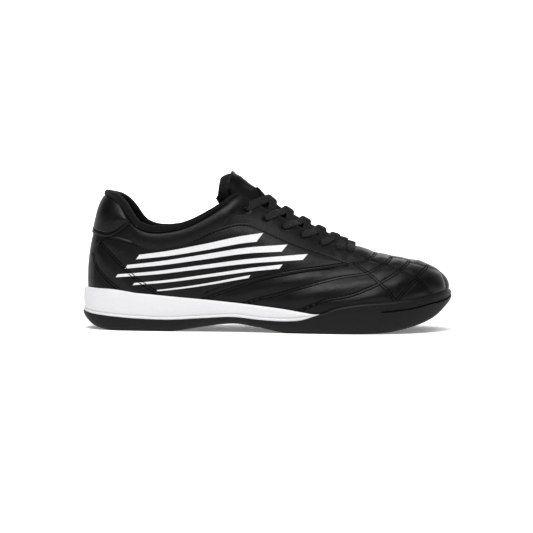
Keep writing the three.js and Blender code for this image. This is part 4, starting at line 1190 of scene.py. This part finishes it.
def make_outsole(materials):
    t = sole_stations(1.0)

    def crest(a):
        """The rubber stands higher as it turns round the toe."""
        return 3.0 * smooth(LENGTH * share_of(a), 258, 288)

    def top(a):
        return np.minimum(split_level(a), rim_level(a)) + crest(a)

    def cup(a):
        return smooth(LENGTH * share_of(a), MIDSOLE_TIP - 3, MIDSOLE_TIP + 3)

    def lip(a):
        """Height of the rounded top edge, full where the rubber cups the forefoot."""
        return mix(1.0, 1.6, cup(a))

    def groove(a):
        x = LENGTH * share_of(a)
        return smooth(x, GROOVE_SEEN_FROM, GROOVE_SEEN_FROM + 2.5)

    def line(a):
        share = mix(0.69, 0.45, smooth(LENGTH * share_of(a), 270, LENGTH))
        return mix(under_level(a), rim_level(a) + crest(a), share)

    def at(share):
        return lambda a: mix(under_level(a) + edge_bevel(a), np.minimum(line(a) - 1.0, top(a) - 1.2), share)

    loops = []
    for angle in (0, 18, 36, 54, 72, 90):
        c, s = math.cos(math.radians(angle)), math.sin(math.radians(angle))
        loops.append(ring(t, lambda a, e: outline_point(
            a, e, edge_bevel(a) * (1 - s), under_level(a) + edge_bevel(a) * (1 - c)
        )))
    for share in (0.33, 0.66, 1.0):
        loops.append(ring(t, lambda a, e: outline_point(
            a, e, -0.15 * math.sin(share * math.pi), at(share)(a)
        )))

    def mid(a, rise):
        low = np.minimum(line(a) - 1.0, top(a) - 1.2)
        return mix(low, top(a) - lip(a), rise)

    for depth, rise in ((0.0, 0.05), (2.6, 0.12), (2.6, 0.24), (0.0, 0.3)):
        loops.append(ring(t, lambda a, e: outline_point(a, e, depth * groove(a), mid(a, rise))))
    for depth, rise in ((0.1, 0.45), (0.25, 0.75)):
        loops.append(ring(t, lambda a, e: outline_point(a, e, depth * cup(a), mid(a, rise))))
    for depth, drop in ((0.3, 1.0), (0.42, 0.7), (0.68, 0.42), (1.0, 0.2), (1.5, 0.05), (2.2, 0.0)):
        loops.append(ring(t, lambda a, e: outline_point(
            a, e, depth * mix(0.15, 1, cup(a)), top(a) - drop * lip(a)
        )))
    def rim(a, e):
        r = recess_point(a, e, rim_level(a) + crest(a))
        o = outline_point(a, e, 9.0, top(a))
        return mix(o, r, cup(a)[:, None])
    loops.append(ring(t, rim))
    def floor(a, e):
        r = recess_point(a, e, footbed_level(a))
        o = outline_point(a, e, 9.5, top(a) - 0.3)
        return mix(o, r, cup(a)[:, None])
    loops.append(ring(t, floor))
    skin = Skin()
    skin.sheet(np.array(loops), close=True)
    under = across_cap(loops[0], 100)
    under[..., 2] += tread_depth(under)
    skin.sheet(under)
    skin.sheet(across_cap(loops[-1], 14))
    return dress(skin.piece("outsole_rubber", materials), "outsole_rubber", "outsole")


def make_footbed(materials):
    t = np.linspace(0.004, 0.996, 130)
    inset = -(WALL + CLEAR)
    loops = []
    for draw, rise in (
        (0, CLEAR),
        (0, INSOLE_THICK - 0.8),
        (-0.25, INSOLE_THICK - 0.2),
        (-0.8, INSOLE_THICK + CLEAR),
    ):
        def place(a, e):
            level = footbed_level(a) + rise
            v = np.maximum(-1, v_at_line(a, e, lambda x: level))
            p = on_upper(a, e, v, inset + draw)
            p[..., 2] = level
            return p
        loops.append(ring(t, place))
    skin = Skin()
    skin.sheet(np.array(loops), close=True)
    top = across_cap(loops[-1], 30)
    across = np.linspace(-1, 1, 30)[None, :]
    top[..., 2] -= 0.6 * (1 - across ** 2) * smooth(top[..., 0], 10, 30) * (1 - smooth(top[..., 0], 250, 275))
    skin.sheet(across_cap(loops[0], 8))
    skin.sheet(top)
    return dress(skin.piece("footbed_cloth", materials), "lining_mesh", "insole")


# Stitching

STITCH = 2.7  # pitch of the stitches
THREAD = 0.66  # thickness of the thread


def stitches(skin, p, n, pitch=STITCH, thread=THREAD, length=2.1):
    """Short threads lying along a line of points, sunk a little at both ends."""
    path = resample(np.hstack((p, n)), pitch)
    p, n = path[:, :3], unit(path[:, 3:])
    ahead = unit(np.gradient(p, axis=0))
    across = unit(np.cross(ahead, n))
    a = np.linspace(0, 2 * np.pi, 6, endpoint=False)
    rows = []
    for place, size in ((-1.0, 0.45), (-0.72, 0.9), (0.0, 1.0), (0.72, 0.9), (1.0, 0.45)):
        round_ = thread / 2 * size
        sink = -0.28 * thread * abs(place) ** 3
        ring_ = np.stack((place * length / 2 + 0 * a, round_ * np.cos(a), round_ * np.sin(a) + sink), -1)
        rows.append(ring_)
    shape = np.array(rows).reshape(-1, 3)
    points = (
        p[:, None] + shape[None, :, :1] * ahead[:, None] + shape[None, :, 1:2] * across[:, None]
        + shape[None, :, 2:] * n[:, None]
    )
    faces = []
    for r in range(4):
        for k in range(6):
            j = (k + 1) % 6
            faces.append((6 * r + k, 6 * r + j, 6 * r + 6 + j, 6 * r + 6 + k))
    faces = np.array(faces)
    ends = np.array([(0, 1, 2, 3), (0, 3, 4, 5), (24, 27, 26, 25), (24, 29, 28, 27)])
    every = np.vstack((faces, ends))
    index = (every[None] + 30 * np.arange(len(p))[:, None, None]).reshape(-1, 4)
    skin.add(points, index)


def beside(t, side, v, away, offset):
    """A line on the upper moved sideways along the surface, and held off it."""
    p, n = upper_point(t, side, v), upper_normal(t, side, v)
    ahead = unit(np.gradient(p, axis=0))
    across = unit(np.cross(n, ahead))
    return p + across * away + n * np.asarray(offset)[..., None], n


def stitch_seams(materials):
    skin = Skin()
    for line in LONG_SEAMS + SLANT_SEAMS:
        for side in (LATERAL, MEDIAL):
            t, v, base = side_line(line, side, 1.0)
            keep = (base[:, 2] > rim_level(t) + 0.5) & (v < 0.999)
            t, v = t[keep], v[keep]
            for away in (-SEAM_ROW, SEAM_ROW):
                p, n = beside(t, side, v, away, np.zeros(len(t)))
                lift = leather_relief(p, nearness(p, vamp_marks))
                stitches(skin, p + n * (lift + 0.02)[:, None], n)
    return dress(skin.piece("vamp_stitches", materials, weld=0.0001), "upper_leather")


def downhill(p, n):
    """The way down the upper's side, square to a line laid on it."""
    down = unit(np.cross(n, unit(np.gradient(p, axis=0))))
    return down * -np.sign(down[:, 2:])


def stitch_quarters(materials):
    skin = Skin()
    low, high = quarter_lines()
    face = CLEAR + OVERLAY
    for side in (LATERAL, MEDIAL):
        x = np.linspace(QUARTER_PANEL[0, 0] * LENGTH + 2, QUARTER_PANEL[-1, 0] * LENGTH - 4, 400)
        t = upper_t(x)
        p, n = beside(t, side, v_at_line(t, side, high), 0.0, np.zeros(len(t)))
        stitches(skin, p + downhill(p, n) * EDGE_ROW + n * (face - 0.15), n)
        x = np.linspace(100, QUARTER_PANEL[-1, 0] * LENGTH - 4, 300)
        t = upper_t(x)
        p, n = beside(t, side, v_at_line(t, side, low), 0.0, np.zeros(len(t)))
        stitches(skin, p - downhill(p, n) * EDGE_ROW + n * (face - 0.2), n)
        for line in HEEL_SEAMS:
            t, v, base = side_line(line, side, 1.0)
            keep = (base[:, 2] > rim_level(t) + 0.5) & (base[:, 2] < tab_line(base[:, 0]) - 1)
            t, v = t[keep], v[keep]
            for away in (-SEAM_ROW, SEAM_ROW):
                p, n = beside(t, side, v, away, np.zeros(len(t)))
                stitches(skin, p + n * (face - ROW_DEEP + 0.1), n)
    return dress(skin.piece("quarter_stitches", materials, weld=0.0001), "upper_leather")


def stitch_heel_tab(materials):
    skin = Skin()
    end_x = HEEL_TAB[-1, 0] * LENGTH
    end = solve(0, 0.5, lambda t: upper_point(t, LATERAL, edge_v(t, LATERAL))[..., 0] - end_x, (1,))[0]
    for side in (LATERAL, MEDIAL):
        t = np.linspace(0.002, end * 0.985, 120)
        v = v_at_line(t, side, lambda x: tab_line(x) + TAB_ROW)
        p, n = upper_point(t, side, v), upper_normal(t, side, v)
        stitches(skin, p + n * (CLEAR + OVERLAY - 0.1), n)
    return dress(skin.piece("heel_tab_stitches", materials, weld=0.0001), "upper_leather")


# Printed bars: five plain stripes that lie along the quarter and rise to the front, each thinner
# than the one above. Middle lines as (x, z), then the width at the front end.

BARS = (
    (((47, 57.0), (72, 60.2), (100, 65.2), (124, 70.0), (141, 72.2)), 6.0),
    (((38, 49.4), (66, 52.6), (98, 57.4), (130, 62.2), (160, 63.8)), 5.0),
    (((31, 42.4), (62, 45.2), (98, 49.9), (134, 54.4), (176, 57.0)), 4.0),
    (((44, 36.2), (72, 39.0), (102, 43.2), (134, 47.8), (158, 50.2)), 3.0),
    (((62, 31.4), (84, 34.0), (104, 37.2), (122, 40.6), (134, 42.8)), 2.0),
)
BAR_REAR = 0.55  # width at a bar's rear end, as a share of its front end's


def make_prints(materials):
    skin = Skin()
    for side in (LATERAL, MEDIAL):
        for line, wide in BARS:
            flat = curve(line, 0.7)
            n = len(flat)
            width = wide * mix(BAR_REAR, 1, np.linspace(0, 1, n)) / 2
            way = unit(np.gradient(flat, axis=0))
            up = np.stack((-way[:, 1], way[:, 0]), -1)
            rows = []
            for u in np.linspace(-1, 1, 9):
                q = flat + up * (u * width)[:, None] + way * (0.9 * width * u)[:, None]
                t = upper_t(q[:, 0])
                v = v_at_line(t, side, lambda x: q[:, 1])
                rows.append((t, v))
            t = np.stack([r[0] for r in rows], 1)
            v = np.stack([r[1] for r in rows], 1)
            base = upper_point(t, side, v)
            seam = nearness(base, heel_marks)
            face = CLEAR + OVERLAY + sewn_relief(seam, 0.75) + 0.14
            outer = on_upper(t, side, v, face)
            inner = on_upper(t, side, v, face - 0.5)
            slab(skin, outer, inner, seam=seam)
    return dress(skin.piece("quarter_printed_bars", materials), "upper_leather")


# Materials


def linear(colour):
    """An sRGB hex colour as the linear numbers that Blender's sockets take."""
    parts = [int(colour[i:i + 2], 16) / 255 for i in (1, 3, 5)]
    return [c / 12.92 if c <= 0.04045 else ((c + 0.055) / 1.055) ** 2.4 for c in parts] + [1.0]


def node(tree, kind, inputs=None, **settings):
    """Adds a node with its settings, and sets or links its inputs."""
    made = tree.nodes.new(kind)
    for key, value in settings.items():
        setattr(made, key, value)
    for key, value in (inputs or {}).items():
        if isinstance(value, bpy.types.NodeSocket):
            tree.links.new(value, made.inputs[key])
        else:
            made.inputs[key].default_value = value
    return made


def per_mm(size):
    """Texture scale, in the frame's metres, for a pattern whose repeat is size millimetres."""
    return 1000 / size


def finish(name, roughness, **sockets):
    """A named material with constant settings: its node tree, its shader and the place in metres."""
    material = bpy.data.materials.new(name)
    material.use_nodes = True
    tree = material.node_tree
    shader = tree.nodes["Principled BSDF"]
    shader.inputs["Roughness"].default_value = roughness
    for key, value in sockets.items():
        shader.inputs[key.replace("_", " ")].default_value = value
    return material, tree, shader, node(tree, "ShaderNodeTexCoord").outputs["Object"]


STITCH_ROW_AND_SHADE = (0.22, 0.42)  # half width of a darkened row of stitches, the thread with painted shade: all dark, then none


def coated_leather():
    """Split leather under a smooth polyurethane coat: fine pebble grain with a soft broad gloss,
    and painted near black along its rows of stitches: the thread, with painted shade where the rows are
    pressed in."""
    material, tree, shader, place = finish("coated_leather", 0.44, Specular_IOR_Level=0.29)
    patches = node(tree, "ShaderNodeTexNoise", {"Vector": place, "Scale": per_mm(14), "Detail": 2.0})
    tone = node(
        tree, "ShaderNodeMapRange", {"Value": patches.outputs["Fac"], "From Min": 0.35, "From Max": 0.65}
    )
    skin = node(tree, "ShaderNodeMix", {
        0: tone.outputs["Result"], 6: linear("#050505"), 7: linear("#090909"),
    }, data_type="RGBA")
    seam = node(tree, "ShaderNodeAttribute", attribute_name="seam").outputs["Fac"]
    from_row = node(tree, "ShaderNodeMath", {0: seam, 1: SEAM_ROW}, operation="SUBTRACT")
    aside = node(tree, "ShaderNodeMath", {0: from_row.outputs["Value"]}, operation="ABSOLUTE")
    row = node(tree, "ShaderNodeMapRange", {
        "Value": aside.outputs["Value"], "From Min": STITCH_ROW_AND_SHADE[0], "From Max": STITCH_ROW_AND_SHADE[1],
        "To Min": 1.0, "To Max": 0.0,
    }).outputs["Result"]
    # Rows of stitches painted near black: the thread's own colour, and painted shade in the pressed-in rows
    # and needle holes.
    sewn = node(tree, "ShaderNodeMix", {0: row, 6: skin.outputs[2], 7: linear("#020202")}, data_type="RGBA")
    tree.links.new(sewn.outputs[2], shader.inputs["Base Color"])
    worn = node(tree, "ShaderNodeTexNoise", {"Vector": place, "Scale": per_mm(5), "Detail": 3.0})
    gloss = node(tree, "ShaderNodeMapRange", {
        "Value": worn.outputs["Fac"], "From Min": 0.3, "From Max": 0.7, "To Min": 0.4, "To Max": 0.48,
    })
    dull = node(
        tree, "ShaderNodeMath", {0: row, 1: 0.5, 2: gloss.outputs["Result"]}, operation="MULTIPLY_ADD"
    )
    tree.links.new(dull.outputs["Value"], shader.inputs["Roughness"])
    pebbles = node(tree, "ShaderNodeTexVoronoi", {"Vector": place, "Scale": per_mm(1.3)}, feature="F1")
    grain = node(tree, "ShaderNodeBump", {"Height": pebbles.outputs["Distance"], "Distance": 0.00009})
    pull = node(tree, "ShaderNodeTexNoise", {"Vector": place, "Scale": per_mm(9), "Detail": 2.0})
    soft = node(tree, "ShaderNodeBump", {
        "Height": pull.outputs["Fac"], "Distance": 0.00012, "Normal": grain.outputs["Normal"],
    })
    tree.links.new(soft.outputs["Normal"], shader.inputs["Normal"])
    return material


def cut_leather_edge():
    """Bare cut edge of the leather board: paler and dull."""
    material, tree, shader, place = finish("cut_leather_edge", 0.8)
    fibres = node(tree, "ShaderNodeTexNoise", {"Vector": place, "Scale": per_mm(1.2), "Detail": 3.0})
    tone = node(tree, "ShaderNodeMix", {
        0: fibres.outputs["Fac"], 6: linear("#2a2928"), 7: linear("#3c3a38"),
    }, data_type="RGBA")
    tree.links.new(tone.outputs[2], shader.inputs["Base Color"])
    return material


def spacer_mesh(name, dark, light, hole):
    """Knitted polyester mesh over foam: rows of small open cells, dull with a faint sheen. The
    cells are drawn about twice their real size, so that they show."""
    material, tree, shader, place = finish(
        name, 0.86, Sheen_Weight=0.08, Sheen_Roughness=0.5, Specular_IOR_Level=0.2
    )
    cells = node(tree, "ShaderNodeTexVoronoi", {"Vector": place, "Scale": per_mm(hole)}, feature="F1")
    yarn = node(
        tree, "ShaderNodeMapRange", {"Value": cells.outputs["Distance"], "From Min": 0.15, "From Max": 0.6}
    )
    tone = node(
        tree, "ShaderNodeMix", {0: yarn.outputs["Result"], 6: linear(dark), 7: linear(light)}, data_type="RGBA"
    )
    tree.links.new(tone.outputs[2], shader.inputs["Base Color"])
    foam = node(tree, "ShaderNodeTexNoise", {"Vector": place, "Scale": per_mm(7), "Detail": 3.0})
    soft = node(tree, "ShaderNodeBump", {"Height": foam.outputs["Fac"], "Distance": 0.0005})
    knit = node(tree, "ShaderNodeBump", {
        "Height": yarn.outputs["Result"], "Distance": 0.0003, "Normal": soft.outputs["Normal"],
    })
    tree.links.new(knit.outputs["Normal"], shader.inputs["Normal"])
    return material


def lace_braid():
    """Flat braided polyester: slanted plaits across the strap, dull black. The plaits are drawn
    about half as fine again as the real ones, so that they show."""
    material, tree, shader, _ = finish(
        "lace_braid", 0.72, Sheen_Weight=0.06, Sheen_Roughness=0.4, Specular_IOR_Level=0.3
    )
    cloth = node(tree, "ShaderNodeUVMap", uv_map="cloth").outputs["UV"]
    turned = [
        node(
            tree, "ShaderNodeMapping", {"Vector": cloth, "Rotation": (0, 0, math.radians(turn))}
        ).outputs["Vector"]
        for turn in (38, -38)
    ]
    plaits = [
        node(
            tree,
            "ShaderNodeTexWave",
            {"Vector": way, "Scale": per_mm(1.1) / 20 * math.pi},
            bands_direction="Y",
        )
        for way in turned
    ]
    both = node(tree, "ShaderNodeMath", {
        0: plaits[0].outputs["Fac"], 1: plaits[1].outputs["Fac"],
    }, operation="MAXIMUM").outputs["Value"]
    tone = node(
        tree, "ShaderNodeMix", {0: both, 6: linear("#080809"), 7: linear("#1a1a1c")}, data_type="RGBA"
    )
    tree.links.new(tone.outputs[2], shader.inputs["Base Color"])
    weave = node(tree, "ShaderNodeBump", {"Height": both, "Distance": 0.00035})
    tree.links.new(weave.outputs["Normal"], shader.inputs["Normal"])
    return material


def moulded_foam():
    """Compression-moulded EVA: off-white skin, even and slightly dull."""
    material, tree, shader, place = finish(
        "moulded_foam", 0.55, Subsurface_Weight=0.06, Subsurface_Scale=0.003
    )
    shader.inputs["Subsurface Radius"].default_value = (1.0, 0.9, 0.8)
    speck = node(tree, "ShaderNodeTexNoise", {"Vector": place, "Scale": per_mm(1.4), "Detail": 4.0})
    tone = node(tree, "ShaderNodeMix", {
        0: speck.outputs["Fac"], 6: linear("#d6d6d9"), 7: linear("#dfdfe1"),
    }, data_type="RGBA")
    tree.links.new(tone.outputs[2], shader.inputs["Base Color"])
    skin = node(tree, "ShaderNodeBump", {"Height": speck.outputs["Fac"], "Distance": 0.00006})
    tree.links.new(skin.outputs["Normal"], shader.inputs["Normal"])
    return material


def sole_rubber():
    """Vulcanised rubber: near black, satin, faint mould texture."""
    material, tree, shader, place = finish("sole_rubber", 0.5, Specular_IOR_Level=0.3)
    cloud = node(tree, "ShaderNodeTexNoise", {"Vector": place, "Scale": per_mm(6), "Detail": 3.0})
    tone = node(tree, "ShaderNodeMix", {
        0: cloud.outputs["Fac"], 6: linear("#111112"), 7: linear("#161617"),
    }, data_type="RGBA")
    tree.links.new(tone.outputs[2], shader.inputs["Base Color"])
    mould = node(tree, "ShaderNodeTexNoise", {"Vector": place, "Scale": per_mm(0.8), "Detail": 4.0})
    skin = node(tree, "ShaderNodeBump", {"Height": mould.outputs["Fac"], "Distance": 0.00006})
    tree.links.new(skin.outputs["Normal"], shader.inputs["Normal"])
    return material


def sewing_thread():
    """Waxed nylon thread, sunk in the leather: dull and near black."""
    material, tree, shader, place = finish("sewing_thread", 0.9, Specular_IOR_Level=0.05)
    twist = node(tree, "ShaderNodeTexNoise", {"Vector": place, "Scale": per_mm(0.7), "Detail": 3.0})
    tone = node(tree, "ShaderNodeMix", {
        0: twist.outputs["Fac"], 6: linear("#020202"), 7: linear("#060606"),
    }, data_type="RGBA")
    tree.links.new(tone.outputs[2], shader.inputs["Base Color"])
    return material


def screen_print():
    """White screen-printed film on the leather: even, slightly grained, hardly glossy."""
    material, tree, shader, place = finish("white_screen_print", 0.5)
    cover = node(tree, "ShaderNodeTexNoise", {"Vector": place, "Scale": per_mm(1.6), "Detail": 4.0})
    film = node(tree, "ShaderNodeMix", {
        0: cover.outputs["Fac"], 6: linear("#d2d2d4"), 7: linear("#e2e2e3"),
    }, data_type="RGBA")
    seam = node(tree, "ShaderNodeAttribute", attribute_name="seam").outputs["Fac"]
    from_row = node(tree, "ShaderNodeMath", {0: seam, 1: SEAM_ROW}, operation="SUBTRACT")
    aside = node(tree, "ShaderNodeMath", {0: from_row.outputs["Value"]}, operation="ABSOLUTE")
    row = node(tree, "ShaderNodeMapRange", {
        "Value": aside.outputs["Value"], "From Min": STITCH_ROW_AND_SHADE[0], "From Max": STITCH_ROW_AND_SHADE[1],
        "To Min": 1.0, "To Max": 0.0,
    }).outputs["Result"]
    # Rows of stitches painted dark grey across the print: painted shade round the threads in the pressed-in
    # rows, with the thread's own colour.
    sewn = node(tree, "ShaderNodeMix", {0: row, 6: film.outputs[2], 7: linear("#3a3a3b")}, data_type="RGBA")
    tree.links.new(sewn.outputs[2], shader.inputs["Base Color"])
    grain = node(tree, "ShaderNodeTexVoronoi", {"Vector": place, "Scale": per_mm(1.3)}, feature="F1")
    skin = node(tree, "ShaderNodeBump", {"Height": grain.outputs["Distance"], "Distance": 0.00006})
    tree.links.new(skin.outputs["Normal"], shader.inputs["Normal"])
    return material


leather = coated_leather()
edge = cut_leather_edge()
lining = spacer_mesh("lining_mesh", "#0d0d0e", "#1c1c1e", 1.4)
collar_cloth = spacer_mesh("collar_knit", "#060606", "#101011", 1.1)
padding = spacer_mesh("tongue_mesh", "#0a0a0b", "#18191b", 1.7)
thread = sewing_thread()

make_upper_leather([leather])
make_upper_lining([lining])
make_quarter(LATERAL, "quarter_outer_side", "quarter_lateral", [leather, edge])
make_quarter(MEDIAL, "quarter_inner_side", "quarter_medial", [leather, edge])
make_heel_tab([leather])
make_collar_roll([collar_cloth])
make_tongue([leather], [padding])
make_keeper([leather])
make_laces([lace_braid()])
make_midsole([moulded_foam()])
make_outsole([sole_rubber()])
make_footbed([lining])
stitch_seams([thread])
stitch_quarters([thread])
stitch_heel_tab([thread])
make_prints([screen_print()])

# Camera, floor and light

VIEW_TARGET = (144.6, 0.0, 49.0)
VIEW_DISTANCE = 1500.0
VIEW_RISE = math.radians(2.6)
VIEW_TURN = math.radians(3.3)
VIEW_ROLL = math.radians(0.3)
PIXEL = 0.787  # millimetres that one pixel shows at the target
FRAME_PIXELS = 533
SENSOR = 36.0


def add_camera():
    forward = np.array((
        -math.sin(VIEW_TURN) * math.cos(VIEW_RISE),
        math.cos(VIEW_TURN) * math.cos(VIEW_RISE),
        -math.sin(VIEW_RISE),
    ))
    right = np.array((math.cos(VIEW_TURN), math.sin(VIEW_TURN), 0))
    up = np.cross(right, forward)
    turned = right * math.cos(VIEW_ROLL) + up * math.sin(VIEW_ROLL)
    upward = up * math.cos(VIEW_ROLL) - right * math.sin(VIEW_ROLL)
    camera = bpy.data.cameras.new("camera")
    camera.sensor_width = SENSOR
    camera.lens = SENSOR * VIEW_DISTANCE / PIXEL / FRAME_PIXELS
    camera.clip_end = 20
    made = bpy.data.objects.new("camera", camera)
    place = to_frame(np.array(VIEW_TARGET) - forward * VIEW_DISTANCE)
    axes = Matrix([[turned[k], upward[k], -forward[k]] for k in range(3)]).to_4x4()
    made.matrix_world = Matrix.Translation(Vector(place)) @ axes
    bpy.context.scene.collection.objects.link(made)
    bpy.context.scene.camera = made


def add_light(name, place, aim, size, power, colour="#ffffff"):
    light = bpy.data.lights.new(name, "AREA")
    light.shape = "RECTANGLE"
    light.size, light.size_y = size
    light.energy = power
    light.color = linear(colour)[:3]
    made = bpy.data.objects.new(name, light)
    way = Vector(aim) - Vector(place)
    made.matrix_world = Matrix.Translation(Vector(place)) @ way.to_track_quat("-Z", "Y").to_matrix().to_4x4()
    bpy.context.scene.collection.objects.link(made)


def add_floor():
    mesh = bpy.data.meshes.new("studio_floor")
    half, back, high, bend = 6.0, 4.0, 5.0, 1.2
    turn = [math.radians(a) for a in range(0, 91, 6)]
    bend_line = [(back + bend * math.sin(a), bend * (1 - math.cos(a))) for a in turn]
    line = [(-half, 0.0)] + bend_line + [(back + bend, high)]
    points = [(x, y, z) for y, z in line for x in (-half, half)]
    faces = [(2 * i, 2 * i + 1, 2 * i + 3, 2 * i + 2) for i in range(len(line) - 1)]
    mesh.from_pydata(points, [], faces)
    material, tree, shader, place = finish("studio_paper", 0.95, Emission_Strength=0.22)
    cloud = node(tree, "ShaderNodeTexNoise", {"Vector": place, "Scale": per_mm(90), "Detail": 3.0})
    tone = node(tree, "ShaderNodeMix", {
        0: cloud.outputs["Fac"], 6: linear("#fbfbfb"), 7: linear("#ffffff"),
    }, data_type="RGBA")
    tree.links.new(tone.outputs[2], shader.inputs["Base Color"])
    mesh.materials.append(material)
    floor = bpy.data.objects.new("studio_floor", mesh)
    bpy.context.scene.collection.objects.link(floor)


def add_sky():
    """White round the horizon, where every view ends, and dim above, so that dark leather stays dark."""
    world = bpy.data.worlds.new("studio")
    world.use_nodes = True
    tree = world.node_tree
    way = node(tree, "ShaderNodeTexCoord").outputs["Generated"]
    rise = node(tree, "ShaderNodeSeparateXYZ", {"Vector": way}).outputs["Z"]
    glow = node(tree, "ShaderNodeMapRange", {
        "Value": rise, "From Min": 0.03, "From Max": 0.16, "To Min": 1.0, "To Max": 0.1,
    })
    tree.links.new(glow.outputs["Result"], tree.nodes["Background"].inputs["Strength"])
    tree.nodes["Background"].inputs["Color"].default_value = linear("#ffffff")
    bpy.context.scene.world = world


def add_sun(name, aim, wide, strength):
    light = bpy.data.lights.new(name, "SUN")
    light.energy = strength
    light.angle = math.radians(wide)
    made = bpy.data.objects.new(name, light)
    made.matrix_world = Vector(aim).to_track_quat("-Z", "Y").to_matrix().to_4x4()
    bpy.context.scene.collection.objects.link(made)


add_camera()
add_floor()
add_sky()
add_sun("overhead", (0.0, 0.3, -1.0), 60, 2.0)
add_light("top_softbox", (-0.1, -0.7, 1.3), (0.0, 0.0, 0.05), (1.0, 0.5), 11)
add_light("backdrop_wash", (0.0, 2.6, 2.2), (0, 5.0, 0.6), (5.0, 1.0), 160)
bpy.context.scene.view_settings.view_transform = "Standard"
bpy.context.scene.view_settings.gamma = 0.88
